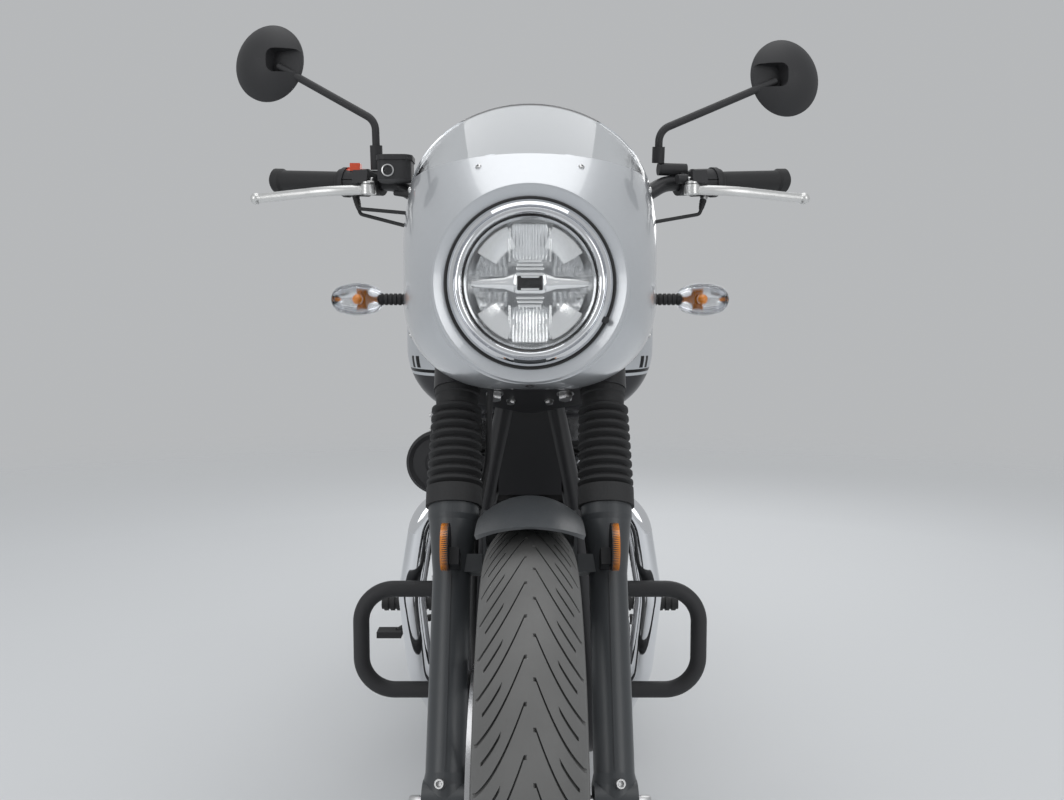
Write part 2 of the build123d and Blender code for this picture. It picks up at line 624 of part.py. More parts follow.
def above(edge, lift):
    """All that lies over a slanted edge, and behind its back end."""
    (x0, z0), (x1, z1) = edge
    slope = (z0 - z1) / (x0 - x1)
    front, back = 60.0, -700.0
    return plate([(FRONT_AXLE_X + x, z1 + lift + slope * (x - x1)) for x in (front, back)]
                 + [(FRONT_AXLE_X + back, 1500), (FRONT_AXLE_X + front, 1500)], -300, 300)


def bezel():
    """Dished ring from the cowl's round front edge in to the lamp."""
    place = Plane((COWL_FRONT_X, 0, LAMP_Z), x_dir=(0, 1, 0), z_dir=(1, 0, 0))
    ring = outline([(BEZEL_R, -6), (BEZEL_R + 1, 0), (BEZEL_R - 1.5, 2.5), (BEZEL_R - 4, 2), (COWL_HOLE_R, -4),
                    (COWL_HOLE_R, -8), (BEZEL_R - 7, -6)])
    return revolve(place * Plane.XZ * ring, axis=Axis(place.origin, place.z_dir))


def cowl_and_screen():
    """Half cowl round the lamp, and the screen that carries its top line on."""
    shell = cowl_form(0) - cowl_form(COWL_WALL)
    shell -= rod(ahead(-200, 0, LAMP_Z), ahead(0, 0, LAMP_Z), BEZEL_R - 4)
    x0 = FRONT_AXLE_X
    side_cut = plate([(x0 - 148, 700), (x0 - 148, 779), (x0 - 226, 842), (x0 - 268, 1058),
                      (x0 - 268, 1300), (x0 - 420, 1300), (x0 - 420, 700)], -300, 300)
    cowl = shell - side_cut - above(COWL_EDGE, 0) + bezel()
    (low_x, low_z), (top_x, top_z) = SCREEN_EDGE
    reach = 1300.0
    top = top_x + (reach - top_z) * (top_x - low_x) / (top_z - low_z)
    back_cut = plate([(x0 + low_x, 900), (x0 + low_x, low_z), (x0 + top, reach), (x0 - 600, reach),
                      (x0 - 600, 900)],
                     -300, 300)
    screen = (shell & above(COWL_EDGE, FIT)) - back_cut
    return cowl, screen


def headlamp():
    """Bucket, bright rim, domed glass and the reflector behind it."""
    centre = Vector(LAMP_X, 0, LAMP_Z)
    place = Plane(centre, x_dir=(0, 1, 0), z_dir=(1, 0, 0))
    axis = Axis(centre, (1, 0, 0))
    shell_r = LAMP_RIM_R - 6
    bucket = revolve(place * Plane.XZ * make_face([
        Line((0, -LAMP_DEPTH), (40, -LAMP_DEPTH)),
        ThreePointArc((40, -LAMP_DEPTH), (78, -LAMP_DEPTH * 0.72), (shell_r, -22 - FIT)),
        Line((shell_r, -22 - FIT), (shell_r - 3, -22 - FIT)),
        ThreePointArc((shell_r - 3, -22 - FIT), (75, -LAMP_DEPTH * 0.7), (38, -LAMP_DEPTH + 3)),
        Line((38, -LAMP_DEPTH + 3), (0, -LAMP_DEPTH + 3)),
        Line((0, -LAMP_DEPTH + 3), (0, -LAMP_DEPTH))]), axis=axis)
    groove = (LAMP_RIM_R + LAMP_GLASS_R) / 2 - 0.5
    rim = revolve(place * Plane.XZ * make_face([
        Line((LAMP_GLASS_R, -8), (LAMP_GLASS_R, -22)), Line((LAMP_GLASS_R, -22), (LAMP_RIM_R, -22)),
        ThreePointArc((LAMP_RIM_R, -22), (LAMP_RIM_R - 2.5, -6), (groove + 1.5, -1)),
        Line((groove + 1.5, -1), (groove, -5)),
        ThreePointArc((groove, -5), ((groove + LAMP_GLASS_R) / 2, -2), (LAMP_GLASS_R, -8))]), axis=axis)
    glass_r = LAMP_GLASS_R - FIT
    glass = revolve(place * Plane.XZ * make_face([
        Line((0, 0), (0, 4)), cap_arc(glass_r, 4, 14), Line((glass_r, -10), (glass_r, -14)),
        cap_arc(glass_r, 0, 14)]), axis=axis)
    return bucket, rim, glass, lamp_optics(place, axis)


def lamp_optics(place, axis):
    """Reflector bowl with a cross bar, a lens block in the middle, ribbed columns and fluted upper quarters."""
    inner_r, seat = LAMP_GLASS_R - 3, -22 - FIT
    bowl = revolve(place * Plane.XZ * outline([
        (0, -62), (inner_r - 14, -58), (inner_r, seat), (inner_r + 8, seat), (inner_r - 10, -64), (0, -68)]),
        axis=axis)
    floor = -62.0
    half_bar = [(inner_r, 4.5), (30, 6.5), (OPTIC_BLOCK[0] / 2, OPTIC_BLOCK[1] / 2 - 2)]
    top = half_bar + [(-x, y) for x, y in reversed(half_bar)]
    bar = extrude(Pos(0, 0, floor) * outline(top + [(x, -y) for x, y in reversed(top)]), amount=-20 - floor)
    block = extrude(Pos(0, 0, floor) * RectangleRounded(*OPTIC_BLOCK, 5), amount=-10 - floor)
    block -= extrude(Pos(0, 0, -14) * RectangleRounded(OPTIC_BLOCK[0] - 8, OPTIC_BLOCK[1] - 8, 3), amount=10)
    block += extrude(Pos(0, 0, -16) * RectangleRounded(20, 9, 3), amount=4)
    pieces = [bar, block]
    for up in (1, -1):
        pieces.append(Pos(0, up * 40, (floor - 34) / 2) * Box(COLUMN_W, 48, -34 - floor))
        for k in range(COLUMN_RIBS):
            x = COLUMN_W * ((k + 0.5) / COLUMN_RIBS - 0.5)
            pieces.append(rod((x, up * 16, -34), (x, up * 64, -34), COLUMN_W / COLUMN_RIBS * 0.46))
    for side in (1, -1):
        for k in range(FLUTES):
            x = side * (COLUMN_W / 2 + FLUTE_R * (2.2 * k + 2))
            pieces.append(rod((x, 4, -46), (x, 44, -46), FLUTE_R))
        wide = FLUTE_R * (2.2 * FLUTES + 1)
        pieces.append(Pos(side * (COLUMN_W + wide) / 2, 24, (floor - 46) / 2) * Box(wide, 40, -46 - floor))
    optics = bar.fuse(*pieces[1:]) & Pos(0, 0, -40) * Cylinder(inner_r - 6, 70)
    return bowl + place * optics


def lamp_bracket():
    """Fork clamp and arm that hold the lamp and the cowl, left side."""
    low = (LAMP_Z - 30 - FRONT_AXLE_Z) / cos(RAKE)
    ring = extrude(LEG * Pos(0, 0, low) * (Circle(TUBE_R + 7) - Circle(TUBE_R + FIT)), amount=46)
    inner = LAMP_RIM_R - 7
    arm = box_between((FRONT_AXLE_X - 262, inner, LAMP_Z - 18), (LAMP_X - 40, inner + 6, LAMP_Z + 18))
    stay = box_between((FRONT_AXLE_X - 196, inner + 2, LAMP_Z - 9), (FRONT_AXLE_X - 178, 200, LAMP_Z + 9))
    arm += stay & cowl_form(COWL_WALL + FIT)
    return ring + (arm - extrude(LEG * Pos(0, 0, low - 60) * Circle(TUBE_R + 3), amount=200))


def signal(x, y, z, root_y):
    """Oval turn signal on its stalk, left side."""
    r, half = SIGNAL_R, SIGNAL_HALF
    edge = make_face([
        Line((0, -half), (0, half)), ThreePointArc((0, half), (0.6 * r, 0.86 * half), (0.86 * r, 0.55 * half)),
        ThreePointArc((0.86 * r, 0.55 * half), (r, 0), (0.86 * r, -0.55 * half)),
        ThreePointArc((0.86 * r, -0.55 * half), (0.6 * r, -0.86 * half), (0, -half))])
    body = revolve(Pos(x, y, z) * edge, axis=Axis((x, y, z), (0, 1, 0)))
    return body + disc_y(x, z, 8, root_y, y - 0.8 * half)


def rear_signal():
    """Left rear turn signal, its stalk ending on the seat rail."""
    whole = signal(*REAR_SIGNAL, REAR_Y - 21) - seat_rail(RAIL_R + FIT)
    return whole.solids().sort_by(SortBy.VOLUME)[-1]


def instruments():
    """Two round dials on their bracket, facing the rider."""
    solids = []
    back = Vector(-0.72, 0, 0.69)
    centre = ahead(-262, 0, 1046)
    for y in (47, -47):
        face = Plane(centre + Vector(0, y, 0), z_dir=back)
        ring = extrude(face * (Circle(44) - Circle(39)), amount=5)
        solids.append(extrude(face * Circle(41), amount=-44) + ring)
    bracket = Plane(centre - back * 48, x_dir=(0, 1, 0), z_dir=back) * Box(150, 40, 8)
    for y in (24, -24):
        bracket += FORK * Pos(60, y, TOP_YOKE[1] + FIT + 3) * Box(86, 16, 6)
    return solids[0] + solids[1] + bracket


def front_fender():
    """Pressed guard over the tyre, round-nosed in plan, with a stay each side down to the fork lugs."""
    crown, half, drop, wall = FRONT_TYRE_R + FENDER_GAP, FENDER_HALF, FENDER_DROP, FENDER_WALL
    edge = crown - drop
    skin = make_face([
        ThreePointArc((edge, -half), (crown, 0), (edge, half)),
        Line((edge, half), (edge - wall, half - wall)),
        ThreePointArc((edge - wall, half - wall), (crown - wall, 0), (edge - wall, wall - half)),
        Line((edge - wall, wall - half), (edge, -half))])
    back, front = FENDER_ARC
    guard = spin(skin, FRONT_AXLE, back, front - back)
    nose_r = half + 3.4
    nose_x = FRONT_AXLE_X + crown * sin(radians(front)) - nose_r
    plan = Pos(nose_x, 0) * Circle(nose_r) + Pos(nose_x - 500, 0) * Rectangle(1000, 4 * half)
    guard &= extrude(Pos(0, 0, FRONT_AXLE_Z - 500) * plan, amount=1500)
    stay_y = FORK_HALF - 38 - FIT - 3.5
    low, top = LUG_AT - 26, edge + 16
    stay = FORK * Pos(4, stay_y, (low + top) / 2) * Box(22, 7, top - low)
    inside = disc_y(FRONT_AXLE_X, FRONT_AXLE_Z, FRONT_TYRE_R + 12, 5 - half, half - 5)
    return guard + (stay + mirrored(stay) - inside)


def front_caliper():
    """Two-piston caliper behind the right leg, slotted for the disc."""
    body = FORK * Pos(-86, FRONT_DISC_Y, 112) * Box(58, 58, 84)
    body = fillet(body.edges().filter_by(Axis.Y), 14)
    gap = DISC_THICK / 2 + SWEEP
    slot = disc_y(FRONT_AXLE_X, FRONT_AXLE_Z, FRONT_DISC_R + SWEEP, FRONT_DISC_Y - gap, FRONT_DISC_Y + gap)
    tang = FORK * Pos(-44, -FORK_HALF + 8, 112) * Box(62 + 2 * FIT, 14 + 2 * FIT, 70 + 2 * FIT)
    return body - slot - tang


def control_cables():
    """Brake hose behind the right leg, one clutch and two throttle cables in under the cowl."""
    runs = [tube([in_fork(*q) for q in BRAKE_HOSE], HOSE_R, [30, 40, 40, 40, 40, 30])]
    for side, lift, out in CABLES:
        start = bar_point(side, SWITCH_AT + 16) + Vector(4 + out, 0, -22 + 0.53 * out)
        route = [start, start + Vector(14, -8 * side, -26)]
        route += [ahead(x, y * side, z + lift) for x, y, z in CABLE_END]
        runs.append(tube(route, CABLE_R, [14, 20, 30]))
    return Compound([c for run in runs for c in run.solids()])


def front_reflector():
    """Side reflector on its plate, ahead of the left leg."""
    spot = in_fork(SLIDER_R + 36, FORK_HALF - 1, LUG_AT + 10)
    disc = disc_y(spot.X, spot.Z, 28, spot.Y, spot.Y + 9)
    arm = FORK * Pos(SLIDER_R + 16, FORK_HALF - 6, LUG_AT) * Box(36, 12, 20)
    return disc + (arm - slider_body(FIT))


# Engine

def finned(z0, count, size_x, size_y):
    """A stack of cooling fins."""
    fin = RectangleRounded(size_x, size_y, FIN_CORNER)
    return [extrude(Pos(ENGINE_X, 0, z0 + k * FIN_PITCH) * fin, amount=FIN_THICK) for k in range(count)]


def crankcase():
    """Hull of the crank, gearbox and sump, with the cylinders' deck and the front sprocket's bay."""
    x, z = CRANK
    sump_z = CASE_BOTTOM + 40
    rounds = Sketch() + [Pos(x, z) * Circle(102), Pos(*GEARBOX) * Circle(82), Pos(x - 70, z + 40) * Circle(67),
                         Pos(40, sump_z) * Circle(40), Pos(-40, sump_z) * Circle(40)]
    case = extrude(Plane.XZ * make_hull(rounds.edges()), amount=CASE_HALF, both=True)
    case += box_between((ENGINE_X - 84, -CASE_HALF, z), (ENGINE_X + 84, CASE_HALF, CYLINDER[0] - FIT))
    return case - box_between((-400, SPROCKET_WALL, 200), (BAY_END, 300, 500))


def chain_case(wall):
    """Side-view outline of the front sprocket's cover, taken in by a wall."""
    x, z = GEARBOX
    rounds = Sketch() + [Pos(x, z) * Circle(72 - wall), Pos(x + 14, z) * Circle(66 - wall)]
    return make_hull(rounds.edges())


def side_covers():
    """Clutch cover right; alternator and sprocket covers left, each with its raised ring or rib."""
    x, z = CRANK
    seat = CASE_HALF + FIT
    rounds = Sketch() + [Pos(x - 20, z) * Circle(66), Pos(GEARBOX[0] + 26, GEARBOX[1]) * Circle(74)]
    right = extrude(Plane.XZ.offset(seat) * make_hull(rounds.edges()), amount=COVER_DEPTH)
    right = fillet(right.faces().sort_by(Axis.Y)[0].edges(), 20)
    face = -seat - COVER_DEPTH
    right += disc_y(GEARBOX[0] + 26, GEARBOX[1], 44, face - 4, face + 2, 38)
    right += disc_y(x - 20, z, 26, face - 6, face + 2)
    left = disc_y(x, z, 76, seat, seat + COVER_DEPTH + 6)
    left = fillet(left.faces().sort_by(Axis.Y)[-1].edges(), 22)
    left += disc_y(x, z, 50, seat + COVER_DEPTH + 4, seat + COVER_DEPTH + 10, 44)
    outside = Plane.XZ.offset(-SPROCKET_WALL - FIT - SPROCKET_BAY - 4)
    cover = extrude(outside * chain_case(0), amount=SPROCKET_BAY + 4)
    cover -= extrude(Plane.XZ.offset(-SPROCKET_WALL - SPROCKET_BAY) * chain_case(5), amount=SPROCKET_BAY + 14)
    cover -= box_between((-300, 60, 260), (GEARBOX[0] - 20, SPROCKET_WALL + SPROCKET_BAY, 436))
    cover -= box_between((BAY_END - FIT, 60, 200), (100, seat + 0.1, 500))
    return Compound([*right.solids(), *left.solids(), *cover.solids()])


def cylinders(tower_gap):
    """Finned block and finned head, with the exhaust and inlet stubs."""
    barrel = extrude(Pos(ENGINE_X, BORE_Y, CYLINDER[0]) * Circle(BARREL_R), amount=CYLINDER[1] - CYLINDER[0])
    web = box_between((ENGINE_X - 40, -BORE_Y, CYLINDER[0]), (ENGINE_X + 40, BORE_Y, CYLINDER[1]))
    block = (barrel + mirrored(barrel) + web).fuse(*finned(CYLINDER[0] + 8, *BLOCK_FINS)) - tower_gap
    half_x, half_y = HEAD_HALF
    head = box_between((ENGINE_X - half_x, -half_y, CYLINDER[1] + FIT), (ENGINE_X + half_x, half_y, HEAD_TOP))
    head = head.fuse(*finned(CYLINDER[1] + 8, *HEAD_FINS)) - tower_gap
    for y in (PORT_Y, -PORT_Y):
        head += rod((ENGINE_X + 60, y, PORT_Z), (ENGINE_X + 98, y, PORT_Z), 30)
        head += rod((ENGINE_X - 60, y, INTAKE_Z), (ENGINE_X - 96, y, INTAKE_Z), 27)
    return block, head


def cam_drive_tower():
    """Upright shaft tube beside the right cylinder, with its collars and the gear housing at the top."""
    x, y = TOWER
    low, high = CYLINDER[0] - 32, HEAD_TOP + 26
    tower = Pos(x, y, (low + high) / 2) * Cylinder(TOWER_R, high - low)
    for z in (low + 8, CYLINDER[1], HEAD_TOP):
        tower += Pos(x, y, z) * Cylinder(TOWER_R + 2.5, 8)
    tower += Pos(x, y + 6, high) * Box(64, 54, 40)
    half_x, half_y = CAM_HALF
    return tower - box_between((ENGINE_X - half_x - FIT, -half_y - FIT, HEAD_TOP - 20),
                               (ENGINE_X + half_x + FIT, 0, COVER_TOP))


def engine():
    tower_gap = Pos(*TOWER, CYLINDER[1]) * Cylinder(TOWER_R + 3, 320)
    block, head = cylinders(tower_gap)
    half_x, half_y = CAM_HALF
    cam = box_between((ENGINE_X - half_x, -half_y, HEAD_TOP + FIT), (ENGINE_X + half_x, half_y, COVER_TOP))
    cam = fillet(cam.edges().filter_by(Axis.Y).group_by(Axis.Z)[-1], 46)
    return {"crankcase": crankcase(), "engine_side_covers": side_covers(), "cylinder_block": block,
            "cylinder_head": head, "cam_cover": cam, "cam_drive_tower": cam_drive_tower()}


def intake():
    """Twin throttle bodies and the air box they breathe from."""
    body = rod((ENGINE_X - 96 - FIT, PORT_Y, INTAKE_Z), (-84, PORT_Y, INTAKE_Z), 29)
    bowl = Pos(-34, PORT_Y, INTAKE_Z - 36) * Cylinder(24, 40)
    top = Pos(-34, PORT_Y, INTAKE_Z + 40) * Cylinder(22, 40)
    box = fillet(box_between((-184, -92, 560), (-84, 92, 720)).edges().filter_by(Axis.Z), 16)
    return box + body + bowl + top + mirrored(body + bowl + top)


def header():
    """Left pipe: out of the port, down past the crankcase, back to the silencer."""
    back = (Vector(*HEADER_END) - Vector(*MUFFLER_END)).normalized()
    route = [(ENGINE_X + 98 + FIT, PORT_Y, PORT_Z), (284, PORT_Y, PORT_Z), (292, 168, 560), (284, 190, 430),
             (250, 180, 290),
             Vector(*HEADER_END) + back * 310, HEADER_END]
    pipe = tube(route, HEADER_R, [45, 60, 90, 70, 70])
    for k in range(COLLARS):
        x = ENGINE_X + 98 + FIT + 8 * k
        pipe += rod((x, PORT_Y, PORT_Z), (x + 4, PORT_Y, PORT_Z), COLLAR_R - k)
    return pipe


def muffler():
    """Tapered silencer with a turned-in tail, left side."""
    start, end = Vector(*HEADER_END), Vector(*MUFFLER_END)
    length = (end - start).length
    place = Plane(start + (end - start).normalized() * FIT, z_dir=end - start)
    tail = length - 26
    shell = outline([
        (0, 0), (HEADER_R + 2, 0), (HEADER_R + 2, 30), (MUFFLER_R - 3, 240), (MUFFLER_R, 300),
        (MUFFLER_R, tail - 90),
        (MUFFLER_R - 10, tail), (MUFFLER_R - 14, length), (24, length), (24, length - 60), (0, length - 60)])
    return revolve(place * Plane.XZ * shell, axis=Axis(place.origin, place.z_dir))


# Frame and running gear

def seat_rail(radius):
    """Left seat rail, from the rear upright to the tail."""
    return tube(RAIL, radius, [300])


def on_rail(x):
    """The left rail's y and z at an x."""
    (x0, y0, z0), (x1, y1, z1) = RAIL[:2] if x > RAIL[1][0] else RAIL[1:]
    share = (x - x0) / (x1 - x0)
    return y0 + (y1 - y0) * share, z0 + (z1 - z0) * share


def cradle(radius):
    """Left down tube, cradle tube and rear upright as one bent tube."""
    route = [in_fork(-FORK_OFFSET - 25, 18, 600), (392, 66, 590), (346, CRADLE_Y, 300),
             (322, CRADLE_Y, CRADLE_Z), (-150, CRADLE_Y, CRADLE_Z), (-226, REAR_Y, 300), (-206, REAR_Y, 748)]
    return tube(route, radius, [200, 200, 60, 70, 80])


CROSS_TUBES = [     # x, z, radius, half length; the rear fender hangs from the first two
    (RAIL[2][0], RAIL[2][2], RAIL_R, RAIL[2][1]),
    (RAIL[1][0], RAIL[1][2], RAIL_R, REAR_Y),
    (366, 430, 11, 84),
    (RAIL[0][0], RAIL[0][2], RAIL_R, REAR_Y),
    (-120, CRADLE_Z, 12, CRADLE_Y),
    (*STAND_PIVOT, STAND_PIN_R, CRADLE_Y + 4),
]


def frame():
    """Welded tube cradle: head tube, spine, down tubes that run under the engine, rails and cross tubes."""
    head = extrude(STEM * Pos(0, 0, LOWER_YOKE[1] + 3) * Circle(HEAD_R), amount=TOP_YOKE[0] - LOWER_YOKE[1] - 6)
    spine = tube([in_fork(-FORK_OFFSET - 10, 0, 618), (170, 0, 822), (-206, 0, 754)], 24, [300])
    rail = seat_rail(RAIL_R)
    pivot_plate = plate([(-240, 306), (-170, 306), (-170, 406), (-238, 406)], CRADLE_Y, REAR_Y + 4)
    shock_pin = disc_y(SHOCK_TOP[0], SHOCK_TOP[1], 9, REAR_Y, SHOCK_Y + 14)
    tank_pin = disc_y(300, 842, 10, 0, TUNNEL_HALF - FIT)
    stand_lug = plate([(-250, 224), (-176, 200), (-160, 250), (-238, 258)], CRADLE_Y - 1, PEG_HANGER_Y - FIT)
    side = cradle(FRAME_TUBE_R) + rail + pivot_plate + shock_pin + tank_pin + stand_lug
    prop_lug = rod(SIDE_PIVOT + SIDE_AXIS * 30, SIDE_PIVOT + SIDE_AXIS * (SIDE_BOSS_HALF + FIT), SIDE_BOSS_R)
    prop_end = SIDE_AXIS * (SIDE_BOSS_HALF + 4)
    prop_pin = rod(SIDE_PIVOT + prop_end, SIDE_PIVOT - prop_end, SIDE_PIN_R)
    gusset = plate([(400, 612), (406, 612), (416, 742), (410, 742)], -46, 46)
    tubes = head + spine + side + mirrored(side) + prop_lug + prop_pin + gusset
    for x, z, radius, half in CROSS_TUBES:
        tubes += disc_y(x, z, radius, -half, half)
    bore = extrude(STEM * Pos(0, 0, LOWER_YOKE[0]) * Circle(STEM_R + RUN), amount=TOP_YOKE[1] - LOWER_YOKE[0])
    return tubes - bore - disc_y(*PIVOT, PIVOT_R + RUN, -200, 200)


def swingarm():
    """Twin arms on a pivot tube, with a brace, the axle plates and the dampers' lower pins."""
    x, z = PIVOT
    pivot_half = CRADLE_Y - 2
    arm = tube([(x - 10, 72, z), (x - 90, 74, z), (x - 170, ARM_Y, z),
                (REAR_AXLE_X + 36, ARM_Y, REAR_AXLE.Z + 2)],
               ARM_R, [90, 90])
    end = box_between((REAR_AXLE_X - 34, ARM_Y - 9, REAR_AXLE.Z - 19),
                      (REAR_AXLE_X + 52, ARM_Y + 9, REAR_AXLE.Z + 19))
    lug = plate([(SHOCK_LOW[0] - 30, z - 8), (SHOCK_LOW[0] + 30, z - 8), (SHOCK_LOW[0] + 12, SHOCK_LOW[1] + 10),
                 (SHOCK_LOW[0] - 12, SHOCK_LOW[1] + 10)], ARM_Y - 6, ARM_Y + 6)
    side = arm + end + lug + disc_y(*SHOCK_LOW, 8, ARM_Y, SHOCK_Y + 14)
    whole = disc_y(x, z, 21, -pivot_half, pivot_half) + side + mirrored(side) + disc_y(x - 84, z, 13, -76, 76)
    whole -= disc_y(REAR_AXLE_X, REAR_AXLE.Z, AXLE_R + RUN, -300, 300)
    return whole - disc_y(x, z, PIVOT_R + RUN, -300, 300)


def shock():
    """Left damper: eyes, body and a coil that shows its turns."""
    low, top = Vector(SHOCK_LOW[0], SHOCK_Y, SHOCK_LOW[1]), Vector(SHOCK_TOP[0], SHOCK_Y, SHOCK_TOP[1])
    place = Plane(low, z_dir=top - low, x_dir=(0, 1, 0))
    length = (top - low).length
    core_r, coil_r, start = 20.0, 28.0, 60.0
    pitch = (length - 150) / SHOCK_TURNS
    edge = [(0, 12), (12, 12), (12, 46), (coil_r, 48), (coil_r, start - 4)]
    for k in range(SHOCK_TURNS):
        z = start + k * pitch
        edge += [(core_r, z), (core_r, z + pitch * 0.25)]
        edge += [(coil_r - 1, z + pitch * 0.45), (coil_r - 1, z + pitch * 0.8)]
    edge += [(coil_r, length - 88), (coil_r, length - 82), (23, length - 78), (23, length - 30)]
    edge += [(13, length - 12), (0, length - 12)]
    body = revolve(place * Plane.XZ * outline(edge), axis=Axis(place.origin, place.z_dir))
    eyes = disc_y(low.X, low.Z, 16, SHOCK_Y - 11, SHOCK_Y + 11)
    eyes += disc_y(top.X, top.Z, 17, SHOCK_Y - 11, SHOCK_Y + 11)
    return body + eyes - disc_y(low.X, low.Z, 8 + FIT, 0, 400) - disc_y(top.X, top.Z, 9 + FIT, 0, 400)


def chain():
    """The drive chain as one fixed loop round both sprockets."""
    rounds = Sketch() + [Pos(*GEARBOX) * Circle(FRONT_SPROCKET_R),
                         Pos(REAR_AXLE_X, REAR_AXLE_Z) * Circle(REAR_SPROCKET_R)]
    loop = make_hull(rounds.edges()).face().outer_wire()
    links = 2 * round(loop.length / LINK / 2)

    def edge(height):
        points = []
        for k in range(links):
            for share, grow in ((0.0, CHAIN_WAIST), (0.24, 1.0), (0.76, 1.0)):
                at = (k + share) / links
                along = loop % at
                spot = loop @ at + Vector(along.Y, -along.X) * height * grow
                points.append((spot.X, spot.Y))
        return points

    y0, y1 = CHAIN_Y - CHAIN_W / 2, CHAIN_Y + CHAIN_W / 2
    outside, inside = (plate(edge(h), y0, y1) for h in (-CHAIN_HALF_HEIGHT, CHAIN_HALF_HEIGHT))
    return outside - inside


def chain_guard():
    """Pressed cover over the chain's upper run, on a foot that stands on the left arm."""
    y0, y1 = CHAIN_Y - 13, CHAIN_Y + 13
    front, knee, back = PIVOT[0] - 100, REAR_AXLE_X + 37, REAR_AXLE_X - 43
    top = plate([(front, 436), (front, 439), (knee, 474), (back, 476), (back, 473), (knee, 471)], y0, y1)
    skirt = plate([(front, 412), (front, 438), (knee, 473), (back, 475), (back, 440), (knee, 446)], y1 - 2, y1)
    top_of_arm = PIVOT[1] + ARM_R + FIT
    post_x = front - 120
    foot = box_between((post_x, y1 - 2, top_of_arm), (post_x + 24, ARM_Y, top_of_arm + 4))
    return top + skirt + foot + box_between((post_x, y1 - 2, top_of_arm), (post_x + 24, y1, 436))


def guard_edge(grow):
    """Outer line of the rear guard's section."""
    crown, half, drop = REAR_GUARD
    edge = crown - drop + grow
    return ThreePointArc((edge, -half - grow), (crown + grow, 0), (edge, half + grow))


def guard_room():
    """Everything inside the rear guard's outer face."""
    edge = guard_edge(FIT)
    low = REAR_TYRE_R / 2
    inward = Polyline(edge @ 1, (low, (edge @ 1).Y), (low, (edge @ 0).Y), edge @ 0)
    return spin(make_face([edge, inward]), REAR_AXLE)


def rear_fender():
    """Deep steel guard round the rear tyre, hung from two cross tubes."""
    root = REAR_GUARD[0] - 4
    outer, inner = guard_edge(0), guard_edge(-GUARD_WALL)
    back, front = GUARD_ARC
    section = make_face([outer, Line(outer @ 1, inner @ 1), inner, Line(inner @ 0, outer @ 0)])
    guard = spin(section, REAR_AXLE, back, front - back)
    for x, z, radius, half in CROSS_TUBES[:2]:
        a = atan2(x - REAR_AXLE_X, z - REAR_AXLE.Z)
        reach = hypot(x - REAR_AXLE_X, z - REAR_AXLE.Z)
        hanger = Pos(0, 0, (root + reach) / 2) * Box(16, 60, reach - root)
        guard += Pos(REAR_AXLE) * Rot(0, degrees(a), 0) * hanger - disc_y(x, z, radius + FIT, -half, half)
    return guard


def tail_light():
    """Tail lamp on the guard."""
    return fillet(box_between(*TAIL_LAMP).edges().filter_by(Axis.X), 20) - guard_room()


def plate_holder():
    """Bracket with four holes for a number plate, hung from the guard's tail."""
    half_y, half_z = PLATE_HALF
    panel = box_between((TAIL_X, -half_y, PLATE_Z - half_z), (TAIL_X + 4, half_y, PLATE_Z + half_z))
    for y in (PLATE_HOLE_Y, -PLATE_HOLE_Y):
        for z in (PLATE_HOLE_Z, -PLATE_HOLE_Z):
            panel -= rod((TAIL_X - 10, y, PLATE_Z + z), (TAIL_X + 10, y, PLATE_Z + z), 3.5)
    arm = box_between((TAIL_X + 2, -30, PLATE_Z + 40), (TAIL_X + 70, 30, PLATE_Z + 46))
    return panel + (arm - guard_room())


def body_form(sections):
    """Loft through rounded upright sections along X."""
    faces = []
    for x, width, low, high, corner in sections:
        place = Plane(ahead(x, 0, (low + high) / 2), x_dir=(0, 1, 0), z_dir=(-1, 0, 0))
        faces.append(place * RectangleRounded(width, high - low, corner))
    return loft(faces)


def fuel_tank():
    """Teardrop tank, saddled over the frame's spine."""
    tunnel = box_between((-400, -TUNNEL_HALF, 600), (500, TUNNEL_HALF, 868))
    over_head = box_between((ENGINE_X - 110, -160, 600), (ENGINE_X + 100, 160, COVER_TOP + 22))
    return body_form(TANK_SECTIONS) - tunnel - over_head


def fuel_cap():
    """Screw cap with a domed top, seated in the tank's crown."""
    cap = fillet((Pos(CAP_X, 0, CAP_Z) * Cylinder(34, 30)).edges().group_by(Axis.Z)[-1], 7)
    return cap - body_form(TANK_SECTIONS)


def seat():
    """Cushion with a raised tail, on rubbers that stand on the rails."""
    body = body_form(SEAT_SECTIONS)
    rail = seat_rail(RAIL_R + FIT)
    for x in SEAT_PADS:
        y, z = on_rail(x)
        stub = box_between((x - 14, y - 10, z), (x + 14, y + 8, z + 56)) - rail
        stub = stub.solids().sort_by(Axis.Z)[-1]
        body += stub + mirrored(stub)
    return body


def side_panel():
    """Cover under the seat, left side."""
    low = REAR_Y + 15 + FIT
    body = plate([(-216, 742), (-216, 590), (-330, 560), (-430, 640), (-480, 752)], low, low + 12)
    return fillet(body.edges().filter_by(Axis.Y), 20)


def engine_guard():
    """Loop of tube from the down tube, left side."""
    x = FRONT_AXLE_X - 414
    loop = tube([(x, 90, 452), (x, 262, 452), (x, 262, 292), (x, 92, 292)], 12.5, [52, 52])
    return (loop - cradle(FRAME_TUBE_R + FIT)).solids().sort_by(SortBy.VOLUME)[-1]


